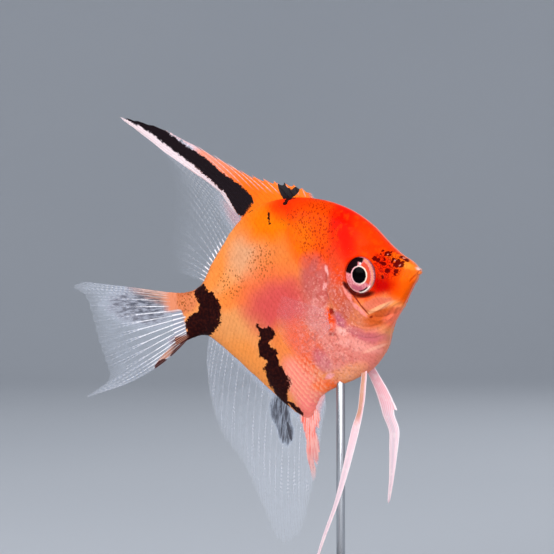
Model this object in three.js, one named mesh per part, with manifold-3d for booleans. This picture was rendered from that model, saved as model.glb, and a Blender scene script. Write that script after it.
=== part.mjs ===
// A freshwater angelfish, life size, swimming above a small round display stand.
// Millimetres, +Z up. The origin is the centre of the stand's underside, and the fish heads along +X.
// The fish is modelled in a frame of its own: x forward from the root of the tail fin to the snout,
// y to its left and z to its back. That frame is pitched nose up and lifted onto the stand's rod.

import * as THREE from 'three';
import { mergeVertices } from 'three/addons/utils/BufferGeometryUtils.js';
import Module from 'manifold-3d';

const wasm = await Module();
wasm.setup();

// ---------------------------------------------------------------- driving dimensions

const NOSE_UP = THREE.MathUtils.degToRad(10.15);   // pitch of the swimming fish
const TAIL_ROOT_X = -26.0;                         // root of the tail fin, ahead of the stand's centre
const TAIL_ROOT_Z = 57.3;                          // and above the floor
const GAP = 0.3;                                   // clearance between neighbouring solids
const FIN_THICKNESS = 0.56;
const RIDGE_HALF = 0.42;                           // half thickness of the body's back and belly edge

const BASE_RADIUS = 29;
const BASE_HEIGHT = 6;
const BASE_EDGE = 1.2;                             // chamfer round the base's top
const ROD_RADIUS = 0.8;
const ROD_X = 6;                                   // the rod stands ahead of the base's centre
const ROD_SOCKET_DEPTH = 4;                        // how deep the rod sits in the base
const ROD_TOP_Z = 53.5;                            // the rod's end, inside the belly
const COLLAR_RADIUS = 2.4;
const COLLAR_HEIGHT = 2.2;

// The body, from the tail's root to the lips. Each row joins a point of the back to a point of the
// belly: [back x, back z, belly x, belly z, half width, taper of the section towards its edges].
const BODY = [
  [-2.0, 4.9, -2.4, -5.5, 0.35, 0.60],
  [0.4, 4.35, 0.2, -4.75, 0.95, 0.60],
  [3.0, 4.45, 3.0, -4.35, 1.40, 0.65],
  [5.0, 5.6, 5.1, -5.2, 1.80, 0.75],
  [7.8, 9.5, 8.7, -9.0, 2.50, 0.88],
  [12.0, 13.5, 13.6, -14.7, 3.20, 0.96],
  [16.5, 16.6, 18.6, -20.4, 3.75, 0.97],
  [20.5, 17.7, 22.2, -22.9, 4.05, 0.94],
  [24.5, 17.75, 25.0, -19.6, 4.25, 0.85],
  [28.5, 17.1, 28.6, -18.2, 4.38, 0.76],
  [33.05, 15.55, 32.4, -17.4, 4.35, 0.68],
  [37.35, 13.0, 36.3, -16.05, 4.05, 0.62],
  [40.85, 9.65, 39.65, -12.9, 3.50, 0.58],
  [43.6, 5.75, 41.2, -9.35, 2.80, 0.55],
  [45.65, 3.3, 43.9, -6.2, 2.20, 0.53],
  [47.35, 1.75, 46.15, -3.2, 1.60, 0.51],
  [48.3, 0.25, 47.9, -0.95, 0.95, 0.50],
];

// Each unpaired fin is a fan of rays: [root x, root z, tip x, tip z, forward bow at mid ray].
const DORSAL_RAYS = [
  [30.6, 15.6, 29.9, 17.3, 0.0],
  [27.8, 16.6, 26.5, 19.8, 0.0],
  [25.2, 17.0, 22.0, 21.5, 0.1],
  [22.8, 17.1, 17.0, 24.0, 0.3],
  [20.4, 16.9, 11.4, 28.4, 0.6],
  [17.8, 16.3, 2.8, 34.8, 1.0],
  [15.6, 15.2, -6.6, 39.4, 1.5],
  [13.6, 13.8, -3.8, 36.2, 1.2],
  [11.3, 11.8, 0.8, 30.6, 0.9],
  [9.0, 9.7, 2.0, 22.5, 0.6],
  [6.9, 7.5, -0.4, 13.6, 0.4],
  [5.4, 5.2, -0.3, 8.3, 0.2],
];
const ANAL_RAYS = [
  [26.0, -18.0, 25.7, -21.4, 0.0],
  [24.6, -19.2, 24.1, -25.4, 0.1],
  [23.2, -20.6, 22.4, -31.0, 0.3],
  [22.0, -21.8, 19.6, -37.8, 0.5],
  [20.4, -21.2, 16.4, -44.0, 0.8],
  [17.6, -18.4, 12.2, -44.6, 0.9],
  [14.6, -15.0, 9.9, -38.0, 0.8],
  [11.6, -11.4, 7.2, -29.6, 0.6],
  [8.6, -7.9, 3.8, -23.4, 0.4],
  [6.4, -6.0, 2.7, -16.4, 0.3],
  [4.6, -4.3, 3.2, -9.4, 0.1],
];
const CAUDAL_RAYS = [
  [0.2, 4.0, -20.4, 10.1, 0.1],
  [0.0, 3.5, -22.9, 9.5, 0.3],
  [-0.4, 2.7, -20.4, 7.3, 0.2],
  [-0.8, 1.2, -19.3, 2.9, 0.0],
  [-0.9, -0.4, -18.8, -1.6, 0.0],
  [-0.8, -1.9, -18.2, -5.8, 0.0],
  [-0.4, -3.2, -18.4, -9.3, -0.2],
  [0.0, -3.9, -23.7, -11.7, -1.1],
  [0.2, -4.4, -20.4, -11.3, -1.7],
];

// The pelvic fins are ribbons: [x, y away from the middle, z, width] from root to tip.
const PELVIC_RIGHT = [
  [34.2, 1.7, -16.2, 1.4],
  [33.8, 2.1, -20.3, 1.5],
  [33.4, 2.4, -23.0, 1.5],
  [32.3, 2.7, -25.5, 1.9],
  [31.1, 3.0, -28.4, 1.8],
  [28.7, 3.5, -34.0, 1.6],
  [26.3, 3.9, -39.0, 1.1],
  [23.4, 4.4, -44.1, 0.8],
  [20.0, 4.8, -50.4, 0.3],
];
const PELVIC_LEFT = [
  [34.8, 1.7, -15.4, 1.8],
  [35.5, 2.2, -18.0, 2.1],
  [36.1, 2.5, -20.2, 2.4],
  [36.6, 2.8, -22.6, 2.8],
  [36.7, 3.1, -24.7, 2.6],
  [36.9, 3.4, -27.5, 2.4],
  [36.2, 3.6, -30.2, 2.0],
  [34.5, 4.1, -36.0, 1.1],
  [32.9, 4.6, -40.4, 0.4],
];

const PECTORAL = {
  rootTop: [31.6, -4.4],       // x, z of the highest and the lowest ray's root
  rootBottom: [31.2, -7.6],
  rootDepth: 3.2,              // how far from the middle the roots lie, inside the flank
  length: 11.5,
  shortest: 0.55,              // the lowest ray's share of that length
  sweep: THREE.MathUtils.degToRad(48),     // how far the fin stands out from the flank
  rise: THREE.MathUtils.degToRad(24),      // slope of the highest ray
  fall: THREE.MathUtils.degToRad(-38),     // and of the lowest
};

const EYE = { x: 38.55, z: 0.9, out: 2.7, radiusX: 3.4, radiusY: 1.9, radiusZ: 3.65 };

// Lines in the fish's own plane along which its flesh is parted, as [x, z].
const NECK_LINE = [
  [38.6, 15.5], [36.0, 11.4], [33.5, 8.2], [32.4, 5.0], [32.1, 2.0], [31.5, -0.8], [31.8, -3.0],
  [32.3, -5.2], [32.4, -6.8], [33.6, -8.3], [35.7, -9.7], [37.8, -10.5], [40.0, -10.3], [43.6, -8.6],
];
const CHEEK_LINE = [
  [31.6, 6.6], [32.6, 5.9], [34.0, 4.4], [34.4, 0.5], [34.9, -2.0], [36.5, -4.6], [38.2, -6.9],
  [39.1, -10.4], [39.2, -11.6],
];
const JAW_LINE = [[50.0, 0.4], [48.6, -0.3], [46.3, -2.2], [45.2, -4.0], [44.1, -7.8]];
const TAIL_LINE = [[5.6, 9.0], [5.2, 0.0], [5.5, -8.0]];
const COVER_DEPTH = 2.2;       // the gill covers' inner face, from the middle

// How finely the surfaces are divided: faces along them, then across.
const BODY_COLUMNS = 36;
const BODY_ROWS = 16;
const EYE_SEGMENTS = [18, 10];
const DORSAL_GRID = [30, 5];
const ANAL_GRID = [24, 5];
const CAUDAL_GRID = [18, 5];
const PELVIC_GRID = [14, 2];
const PECTORAL_GRID = [8, 5];
const WAVE_HEIGHT = 0.4;       // how far a thin fin's edge waves to either side

// ---------------------------------------------------------------- sections and surfaces

// One row between the rows of a table, on a smooth curve through all of them.
function rowAt(rows, share) {
  const place = share * (rows.length - 1);
  const index = Math.min(Math.floor(place), rows.length - 2);
  const t = place - index;
  const pick = (offset) => rows[THREE.MathUtils.clamp(index + offset, 0, rows.length - 1)];
  const [before, from, to, after] = [pick(-1), pick(0), pick(1), pick(2)];
  return from.map((value, column) => {
    const startSlope = index === 0 ? to[column] - value : (to[column] - before[column]) / 2;
    const last = index === rows.length - 2;
    const endSlope = last ? to[column] - value : (after[column] - value) / 2;
    const rest = to[column] - value;
    const square = 3 * rest - 2 * startSlope - endSlope;
    const cube = startSlope + endSlope - 2 * rest;
    return value + startSlope * t + square * t * t + cube * t * t * t;
  });
}

// A point of the flank. along runs from the tail to the lips, height from -1 at the belly to 1 at
// the back, and grow moves the whole surface outwards.
function flankPoint(along, height, side, grow) {
  const [backX, backZ, bellyX, bellyZ, half, taper] = rowAt(BODY, along);
  const ridge = Math.min(RIDGE_HALF, half / 2);
  const crown = (half - ridge) * (1 - Math.abs(height) ** 2.2) ** taper;
  const y = crown + (ridge + grow) * Math.sqrt(Math.max(0, 1 - height ** 12));
  const stretch = height * (1 + (2 * grow) / Math.hypot(backX - bellyX, backZ - bellyZ));
  const x = (backX + bellyX) / 2 + ((backX - bellyX) / 2) * stretch;
  const z = (backZ + bellyZ) / 2 + ((backZ - bellyZ) / 2) * stretch;
  return new THREE.Vector3(x, side * y, z);
}

// A closed solid between two sheets of the same grid, with a wall round their edges.
function closedSheets(columns, rows, leftAt, rightAt) {
  const positions = [];
  const indices = [];
  for (const sheet of [leftAt, rightAt]) {
    for (let column = 0; column <= columns; column += 1) {
      for (let row = 0; row <= rows; row += 1) {
        positions.push(...sheet(column / columns, row / rows).toArray());
      }
    }
  }
  const count = (columns + 1) * (rows + 1);
  const id = (column, row, sheet) => sheet * count + column * (rows + 1) + row;
  const quad = (a, b, c, d) => indices.push(a, b, c, a, c, d);
  for (let column = 0; column < columns; column += 1) {
    for (let row = 0; row < rows; row += 1) {
      quad(id(column, row, 0), id(column, row + 1, 0), id(column + 1, row + 1, 0), id(column + 1, row, 0));
      quad(id(column, row, 1), id(column + 1, row, 1), id(column + 1, row + 1, 1), id(column, row + 1, 1));
    }
    quad(id(column, 0, 0), id(column + 1, 0, 0), id(column + 1, 0, 1), id(column, 0, 1));
    quad(id(column, rows, 0), id(column, rows, 1), id(column + 1, rows, 1), id(column + 1, rows, 0));
  }
  for (let row = 0; row < rows; row += 1) {
    quad(id(0, row, 0), id(0, row, 1), id(0, row + 1, 1), id(0, row + 1, 0));
    quad(id(columns, row, 0), id(columns, row + 1, 0), id(columns, row + 1, 1), id(columns, row, 1));
  }
  const geometry = new THREE.BufferGeometry();
  geometry.setAttribute('position', new THREE.Float32BufferAttribute(positions, 3));
  geometry.setIndex(signedVolume(positions, indices) > 0 ? indices : indices.reverse());
  return geometry;
}

// The volume within a closed surface, negative where its faces point inwards.
function signedVolume(positions, indices) {
  const corner = (i) => new THREE.Vector3().fromArray(positions, 3 * indices[i]);
  let sum = 0;
  for (let i = 0; i < indices.length; i += 3) {
    sum += corner(i).dot(corner(i + 1).cross(corner(i + 2))) / 6;
  }
  return sum;
}

// The whole fish's flesh, from the tail's root to the lips, without fins or eyes.
function bodyGeometry(grow) {
  const sheet = (side) => (along, share) =>
    flankPoint(along, -Math.cos(Math.PI * share), side, grow);
  return closedSheets(BODY_COLUMNS, BODY_ROWS, sheet(1), sheet(-1));
}

// ---------------------------------------------------------------- joining and cutting

// A solid from a geometry: shared vertices are merged and triangles without area are dropped.
function solid(geometry) {
  const bare = geometry.clone();
  bare.deleteAttribute('normal');
  bare.deleteAttribute('uv');
  const merged = mergeVertices(bare, 1e-4);
  const faces = [];
  for (let i = 0; i < merged.index.count; i += 3) {
    const [a, b, c] = [0, 1, 2].map((k) => merged.index.getX(i + k));
    if (a !== b && b !== c && c !== a) {
      faces.push(a, b, c);
    }
  }
  return new wasm.Manifold(new wasm.Mesh({
    numProp: 3,
    vertProperties: new Float32Array(merged.attributes.position.array),
    triVerts: new Uint32Array(faces),
  }));
}

function geometryOf(manifold) {
  const { vertProperties, triVerts } = manifold.getMesh();
  const geometry = new THREE.BufferGeometry();
  geometry.setAttribute('position', new THREE.BufferAttribute(vertProperties, 3));
  geometry.setIndex(new THREE.BufferAttribute(triVerts, 1));
  return geometry;
}

// An outline in the fish's plane, extruded sideways from one distance from the middle to another.
function slab(outline, from, to) {
  const shape = new THREE.Shape(outline.map(([x, z]) => new THREE.Vector2(x, z)));
  const geometry = new THREE.ExtrudeGeometry(shape, { depth: to - from, bevelEnabled: false });
  geometry.rotateX(Math.PI / 2);
  geometry.translate(0, to, 0);
  return solid(geometry);
}

// Points of a smooth curve through a line, moved to its left by an offset.
function smoothLine(line, offset = 0) {
  const curve = new THREE.SplineCurve(line.map(([x, z]) => new THREE.Vector2(x, z)));
  const steps = line.length * 2;
  return Array.from({ length: steps + 1 }, (_, step) => {
    const tangent = curve.getTangent(step / steps);
    const side = new THREE.Vector2(-tangent.y, tangent.x).multiplyScalar(offset);
    return curve.getPoint(step / steps).add(side).toArray();
  });
}

// A thin cutting wall that stands on a line of the fish's plane.
function cuttingWall(line, from, to) {
  return slab([...smoothLine(line, GAP / 2), ...smoothLine(line, -GAP / 2).reverse()], from, to);
}

// ---------------------------------------------------------------- flesh, parted by thin cuts

function eyeGeometry(side, grow) {
  const geometry = new THREE.SphereGeometry(1, ...EYE_SEGMENTS);
  geometry.scale(EYE.radiusX + grow, EYE.radiusY + grow, EYE.radiusZ + grow);
  geometry.translate(EYE.x, side * EYE.out, EYE.z);
  return geometry;
}

// The cut that frees a gill cover: a floor inside the head and a wall behind the cheek.
function coverCut(side) {
  const span = (near, far) => (side > 0 ? [near, far] : [-far, -near]);
  const [top, bottom] = [CHEEK_LINE.at(1), CHEEK_LINE.at(-2)];
  const rear = smoothLine(NECK_LINE).filter(([x, z]) => x < bottom[0] && z < top[1]);
  const front = smoothLine(CHEEK_LINE).filter(([, z]) => z > bottom[1] && z < top[1]);
  const outline = [top, ...rear, bottom, ...front.reverse()];
  const floor = slab(outline, ...span(COVER_DEPTH - GAP, COVER_DEPTH));
  return floor.add(cuttingWall(CHEEK_LINE, ...span(COVER_DEPTH - GAP, 8)));
}

function fleshPieces(fishMatrix) {
  let flesh = solid(bodyGeometry(0));
  const wide = [-8, 8];
  for (const line of [NECK_LINE, JAW_LINE, TAIL_LINE]) {
    flesh = flesh.subtract(cuttingWall(line, ...wide));
  }
  for (const side of [-1, 1]) {
    flesh = flesh.subtract(coverCut(side)).subtract(solid(eyeGeometry(side, GAP)));
  }
  flesh = flesh.subtract(solid(rodHoleGeometry().applyMatrix4(fishMatrix.clone().invert())));
  return flesh.decompose();
}

// Finds the piece of flesh whose box has its middle nearest to a place.
function pieceNear(pieces, x, y, z) {
  const place = new THREE.Vector3(x, y, z);
  const distance = (piece) => {
    const box = piece.boundingBox();
    const low = new THREE.Vector3(...box.min);
    const high = new THREE.Vector3(...box.max);
    return low.add(high).multiplyScalar(0.5).distanceTo(place);
  };
  return pieces.reduce((best, piece) => (distance(piece) < distance(best) ? piece : best));
}

// ---------------------------------------------------------------- fins

// A point of a fan fin's middle sheet. across runs over the rays and outward along one.
function fanPoint(rays, across, outward) {
  const [rootX, rootZ, tipX, tipZ, bow] = rowAt(rays, across);
  const root = new THREE.Vector2(rootX, rootZ);
  const tip = new THREE.Vector2(tipX, tipZ);
  const point = root.clone().lerp(tip, outward);
  const ray = tip.sub(root).normalize();
  return point.add(new THREE.Vector2(ray.y, -ray.x).multiplyScalar(bow * 4 * outward * (1 - outward)));
}

// The sideways wave of a thin fin, none at its root and growing towards its edge.
function wave(across, outward) {
  return WAVE_HEIGHT * Math.sin(across * Math.PI * 3 + 0.6) * outward ** 1.6;
}

function fanFin(rays, grid) {
  const sheet = (side) => (across, outward) => {
    const point = fanPoint(rays, across, outward);
    const y = wave(across, outward) + (side * FIN_THICKNESS) / 2;
    return new THREE.Vector3(point.x, y, point.y);
  };
  return closedSheets(...grid, sheet(1), sheet(-1));
}

function pelvicFin(stations, side) {
  const sheet = (face) => (along, across) => {
    const [x, out, z, width] = rowAt(stations, along);
    const y = side * out + (face * FIN_THICKNESS) / 2;
    return new THREE.Vector3(x + (across - 0.5) * width, y, z);
  };
  return closedSheets(...PELVIC_GRID, sheet(1), sheet(-1));
}

function pectoralFin(side) {
  const out = new THREE.Vector3(-Math.cos(PECTORAL.sweep), side * Math.sin(PECTORAL.sweep), 0);
  const normal = new THREE.Vector3(Math.sin(PECTORAL.sweep), side * Math.cos(PECTORAL.sweep), 0);
  const up = new THREE.Vector3(0, 0, 1);
  const sheet = (face) => (across, outward) => {
    const x = THREE.MathUtils.lerp(PECTORAL.rootTop[0], PECTORAL.rootBottom[0], across);
    const z = THREE.MathUtils.lerp(PECTORAL.rootTop[1], PECTORAL.rootBottom[1], across);
    const slope = THREE.MathUtils.lerp(PECTORAL.rise, PECTORAL.fall, across);
    const longest = Math.sin(Math.PI * (0.3 + across * 0.55));
    const length = PECTORAL.length * THREE.MathUtils.lerp(PECTORAL.shortest, 1, longest) * outward;
    const point = new THREE.Vector3(x, side * PECTORAL.rootDepth, z);
    point.addScaledVector(out, length * Math.cos(slope));
    point.addScaledVector(up, length * Math.sin(slope));
    return point.addScaledVector(normal, (face * FIN_THICKNESS) / 2);
  };
  return closedSheets(...PECTORAL_GRID, sheet(1), sheet(-1));
}

// ---------------------------------------------------------------- stand

function turned(profile, segments) {
  return new THREE.LatheGeometry(profile.map(([r, z]) => new THREE.Vector2(r, z)), segments).rotateX(Math.PI / 2);
}

function rodHoleGeometry() {
  const top = ROD_TOP_Z + GAP;
  const bottom = BASE_HEIGHT - ROD_SOCKET_DEPTH - GAP;
  const radius = ROD_RADIUS + GAP;
  const geometry = turned([[0, bottom], [radius, bottom], [radius, top], [0, top]], 20);
  return geometry.translate(ROD_X, 0, 0);
}

function rodGeometry() {
  const bottom = BASE_HEIGHT - ROD_SOCKET_DEPTH;
  const geometry = turned([[0, bottom], [ROD_RADIUS, bottom], [ROD_RADIUS, ROD_TOP_Z], [0, ROD_TOP_Z]], 20);
  return geometry.translate(ROD_X, 0, 0);
}

function baseGeometry() {
  const profile = [
    [0, 0], [BASE_RADIUS, 0], [BASE_RADIUS, BASE_HEIGHT - BASE_EDGE],
    [BASE_RADIUS - BASE_EDGE, BASE_HEIGHT], [0, BASE_HEIGHT],
  ];
  return geometryOf(solid(turned(profile, 56)).subtract(solid(rodHoleGeometry())));
}

// A small turned ring round the foot of the rod.
function collarGeometry() {
  const foot = BASE_HEIGHT + GAP;
  const bore = ROD_RADIUS + GAP;
  const profile = [
    [bore, foot], [COLLAR_RADIUS, foot], [COLLAR_RADIUS, foot + COLLAR_HEIGHT * 0.55],
    [bore + 0.35, foot + COLLAR_HEIGHT], [bore, foot + COLLAR_HEIGHT], [bore, foot],
  ];
  return turned(profile, 24).translate(ROD_X, 0, 0);
}

// ---------------------------------------------------------------- the model

function mesh(name, geometry, color, roughness, metalness = 0) {
  const node = new THREE.Mesh(geometry, new THREE.MeshStandardMaterial({ color, roughness, metalness }));
  node.name = name;
  return node;
}

const COLOURS = {
  head: 0xe8431c, cover: 0xe98a72, trunk: 0xf08a4c, tail: 0x6e3324, blackFin: 0x3a2c33,
  clearFin: 0xc9d2e0, pelvic: 0xf3c3c2, eye: 0x241014, base: 0x26282b, steel: 0xb9bdc2,
};

function buildFish() {
  const fish = new THREE.Group();
  fish.position.set(TAIL_ROOT_X, 0, TAIL_ROOT_Z);
  fish.rotation.y = -NOSE_UP;
  fish.updateMatrix();

  const pieces = fleshPieces(fish.matrix);
  const flesh = (name, x, y, z, color) => fish.add(mesh(name, geometryOf(pieceNear(pieces, x, y, z)), color, 0.4));
  flesh('trunk', 22, 0, -2.5, COLOURS.trunk);
  flesh('tail_stalk', 1.5, 0, 0, COLOURS.tail);
  flesh('head', 40, 0, 2, COLOURS.head);
  flesh('lower_jaw', 46.3, 0, -3.5, COLOURS.head);
  flesh('gill_cover_left', 35.5, 3.2, -2, COLOURS.cover);
  flesh('gill_cover_right', 35.5, -3.2, -2, COLOURS.cover);

  const grown = solid(bodyGeometry(GAP));
  const fin = (name, geometry, color) => {
    fish.add(mesh(name, geometryOf(solid(geometry).subtract(grown)), color, 0.35));
  };
  fin('dorsal_fin', fanFin(DORSAL_RAYS, DORSAL_GRID), COLOURS.blackFin);
  fin('anal_fin', fanFin(ANAL_RAYS, ANAL_GRID), COLOURS.clearFin);
  fin('caudal_fin', fanFin(CAUDAL_RAYS, CAUDAL_GRID), COLOURS.clearFin);
  for (const [name, side] of [['right', -1], ['left', 1]]) {
    const stations = side < 0 ? PELVIC_RIGHT : PELVIC_LEFT;
    fin(`pelvic_fin_${name}`, pelvicFin(stations, side), COLOURS.pelvic);
    fin(`pectoral_fin_${name}`, pectoralFin(side), COLOURS.clearFin);
    fish.add(mesh(`eye_${name}`, eyeGeometry(side, 0), COLOURS.eye, 0.15));
  }
  return fish;
}

function buildStand() {
  const stand = new THREE.Group();
  stand.add(mesh('stand_base', baseGeometry(), COLOURS.base, 0.35));
  stand.add(mesh('stand_collar', collarGeometry(), COLOURS.steel, 0.3, 1));
  stand.add(mesh('stand_rod', rodGeometry(), COLOURS.steel, 0.3, 1));
  return stand;
}

const model = new THREE.Group();
model.add(buildFish(), buildStand());

export default model;
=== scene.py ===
"""A young freshwater angelfish, koi colour form, life size, on a small round display stand.

The fish is modelled in a frame of its own, in millimetres: x forward from the root of the tail fin to
the snout, y to its left and z to its back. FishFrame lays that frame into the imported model's frame.
"""

import logging
import math
from collections.abc import Callable
from dataclasses import dataclass
from enum import Enum

import bpy
import numpy as np
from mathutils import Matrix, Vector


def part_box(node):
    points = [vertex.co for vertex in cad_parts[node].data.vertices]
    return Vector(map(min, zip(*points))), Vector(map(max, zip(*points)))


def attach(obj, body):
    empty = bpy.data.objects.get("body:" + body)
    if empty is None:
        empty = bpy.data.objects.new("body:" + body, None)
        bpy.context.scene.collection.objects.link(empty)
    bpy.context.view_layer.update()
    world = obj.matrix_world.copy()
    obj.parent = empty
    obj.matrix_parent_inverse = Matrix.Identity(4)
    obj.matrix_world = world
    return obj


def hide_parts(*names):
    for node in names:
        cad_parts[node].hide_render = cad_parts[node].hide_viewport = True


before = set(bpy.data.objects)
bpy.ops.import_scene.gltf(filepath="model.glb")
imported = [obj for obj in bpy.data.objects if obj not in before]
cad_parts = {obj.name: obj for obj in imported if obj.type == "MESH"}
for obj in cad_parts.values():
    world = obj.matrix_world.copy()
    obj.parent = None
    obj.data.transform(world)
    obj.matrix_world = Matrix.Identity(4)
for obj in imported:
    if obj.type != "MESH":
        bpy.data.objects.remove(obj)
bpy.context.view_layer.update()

MM = 0.001
SAME_PLACE = 1e-6
FULL_TURN = 2 * math.pi
BODY_NAME = "root"
BAKE_MAP = "OFBake"
LOG = logging.getLogger("angelfish")


class Side(Enum):
    """A side of the fish, by the sign of its y."""

    RIGHT = -1
    LEFT = 1

    @property
    def tag(self) -> str:
        """The side's name as pieces carry it."""
        return self.name.lower()


# ---------------------------------------------------------------- frame, tables and curves


@dataclass(frozen=True)
class FishFrame:
    """Where the fish swims: its pitch and the root of its tail fin."""

    nose_up: float = math.radians(10.15)
    tail_x: float = -26.0
    tail_z: float = 57.3

    def place(self, points: np.ndarray) -> np.ndarray:
        """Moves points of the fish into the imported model's frame.

        Args:
            points: Points in fish millimetres, one a row.

        Returns:
            The same points in metres.
        """
        x, y, z = points.T
        cosine, sine = math.cos(self.nose_up), math.sin(self.nose_up)
        across = x * cosine - z * sine + self.tail_x
        above = x * sine + z * cosine + self.tail_z
        return np.stack([across, y, above], axis=1) * MM


FISH = FishFrame()

# Rows join a point of the back to one of the belly: back x, z, belly x, z, half width, taper.
BODY_ROWS = np.array([
    [-2.0, 4.9, -2.4, -5.5, 0.35, 0.60],
    [0.4, 4.35, 0.2, -4.75, 0.95, 0.60],
    [3.0, 4.45, 3.0, -4.35, 1.40, 0.65],
    [5.0, 5.6, 5.1, -5.2, 1.80, 0.75],
    [7.8, 9.5, 8.7, -9.0, 2.50, 0.88],
    [12.0, 13.5, 13.6, -14.7, 3.20, 0.96],
    [16.5, 16.6, 18.6, -20.4, 3.75, 0.97],
    [20.5, 17.7, 22.2, -22.9, 4.05, 0.94],
    [24.5, 17.75, 25.0, -19.6, 4.25, 0.85],
    [28.5, 17.1, 28.6, -18.2, 4.38, 0.76],
    [33.05, 15.55, 32.4, -17.4, 4.35, 0.68],
    [37.35, 13.0, 36.3, -16.05, 4.05, 0.62],
    [40.85, 9.65, 39.65, -12.9, 3.50, 0.58],
    [43.6, 5.75, 41.2, -9.35, 2.80, 0.55],
    [45.65, 3.3, 43.9, -6.2, 2.20, 0.53],
    [47.35, 1.75, 46.15, -3.2, 1.60, 0.51],
    [48.3, 0.25, 47.9, -0.95, 0.95, 0.50],
])

# Rays of the fan fins, front or top first: root x, z, tip x, z, forward bow at mid ray.
DORSAL_ROWS = np.array([
    [30.6, 15.6, 29.9, 17.3, 0.0],
    [27.8, 16.6, 26.5, 19.8, 0.0],
    [25.2, 17.0, 22.0, 21.5, 0.1],
    [22.8, 17.1, 17.0, 24.0, 0.3],
    [20.4, 16.9, 11.4, 28.4, 0.6],
    [17.8, 16.3, 2.8, 34.8, 1.0],
    [15.6, 15.2, -6.6, 39.4, 1.5],
    [13.6, 13.8, -3.8, 36.2, 1.2],
    [11.3, 11.8, 0.8, 30.6, 0.9],
    [9.0, 9.7, 2.0, 22.5, 0.6],
    [6.9, 7.5, -0.4, 13.6, 0.4],
    [5.4, 5.2, -0.3, 8.3, 0.2],
])
ANAL_ROWS = np.array([
    [26.0, -18.0, 25.7, -21.4, 0.0],
    [24.6, -19.2, 24.1, -25.4, 0.1],
    [23.2, -20.6, 22.4, -31.0, 0.3],
    [22.0, -21.8, 19.6, -37.8, 0.5],
    [20.4, -21.2, 16.4, -44.0, 0.8],
    [17.6, -18.4, 12.2, -44.6, 0.9],
    [14.6, -15.0, 9.9, -38.0, 0.8],
    [11.6, -11.4, 7.2, -29.6, 0.6],
    [8.6, -7.9, 3.8, -23.4, 0.4],
    [6.4, -6.0, 2.7, -16.4, 0.3],
    [4.6, -4.3, 3.2, -9.4, 0.1],
])
CAUDAL_ROWS = np.array([
    [0.2, 4.0, -20.4, 10.1, 0.1],
    [0.0, 3.5, -22.9, 9.5, 0.3],
    [-0.4, 2.7, -20.4, 7.3, 0.2],
    [-0.8, 1.2, -19.3, 2.9, 0.0],
    [-0.9, -0.4, -18.8, -1.6, 0.0],
    [-0.8, -1.9, -18.2, -5.8, 0.0],
    [-0.4, -3.2, -18.4, -9.3, -0.2],
    [0.0, -3.9, -23.7, -11.7, -1.1],
    [0.2, -4.4, -20.4, -11.3, -1.7],
])

# Stations of the ribbon-like pelvic fins: x, distance from the middle, z, width.
PELVIC_ROWS = {
    Side.RIGHT: np.array([
        [34.8, 1.3, -16.4, 1.0], [34.1, 2.0, -20.3, 1.25], [33.4, 2.4, -23.0, 1.15],
        [32.3, 2.7, -25.5, 1.6], [31.1, 3.0, -28.4, 1.7], [28.7, 3.5, -34.0, 1.5],
        [26.3, 3.9, -39.0, 1.1], [23.4, 4.4, -44.1, 0.8], [20.0, 4.8, -50.4, 0.3],
    ]),
    Side.LEFT: np.array([
        [34.8, 1.7, -15.4, 1.8], [35.5, 2.2, -18.0, 2.1], [36.1, 2.5, -20.2, 2.4],
        [36.5, 2.8, -22.6, 2.7], [36.4, 3.1, -24.7, 2.3], [36.8, 3.4, -27.5, 2.2],
        [36.2, 3.6, -30.2, 2.0], [34.5, 4.1, -36.0, 1.1], [32.9, 4.6, -40.4, 0.4],
    ]),
}


def row_at(rows: np.ndarray, share: np.ndarray) -> np.ndarray:
    """Finds rows between the rows of a table, on a smooth curve through all of them.

    Args:
        rows: The table, one station a row.
        share: Places along the table, from 0 to 1.

    Returns:
        One row for each place.
    """
    last = len(rows) - 1
    place = np.asarray(share, float) * last
    index = np.clip(np.floor(place).astype(int), 0, last - 1)
    t = (place - index)[..., None]
    before, here = rows[np.maximum(index - 1, 0)], rows[index]
    after, beyond = rows[index + 1], rows[np.minimum(index + 2, last)]
    rest = after - here
    start = np.where((index == 0)[..., None], rest, (after - before) / 2)
    end = np.where((index == last - 1)[..., None], rest, (beyond - here) / 2)
    return here + start * t + (3 * rest - 2 * start - end) * t**2 + (start + end - 2 * rest) * t**3


def smooth_step(low: float, high: float, value: np.ndarray) -> np.ndarray:
    """Rises smoothly from 0 at low to 1 at high, or falls where high is the lower."""
    t = np.clip((value - low) / (high - low), 0, 1)
    return t * t * (3 - 2 * t)


def bump(value: np.ndarray, middle: float, width: float) -> np.ndarray:
    """A soft hump of height 1 round a middle value."""
    return np.exp(-(((value - middle) / width) ** 2))


def between(share: np.ndarray, risen: float, falling: float) -> np.ndarray:
    """Rises from 0 at a line's start to 1, and falls to 0 again at its end."""
    return smooth_step(0, risen, share) * smooth_step(1, falling, share)


def unit(vectors: np.ndarray) -> np.ndarray:
    """Brings vectors to length 1."""
    return vectors / np.linalg.norm(vectors, axis=-1, keepdims=True)


def ellipse_share(x: np.ndarray, z: np.ndarray, middle: tuple[float, float],
                  half: tuple[float, float]) -> np.ndarray:
    """How far places lie from an ellipse's middle, 1 on its edge."""
    return np.hypot((x - middle[0]) / half[0], (z - middle[1]) / half[1])


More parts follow.
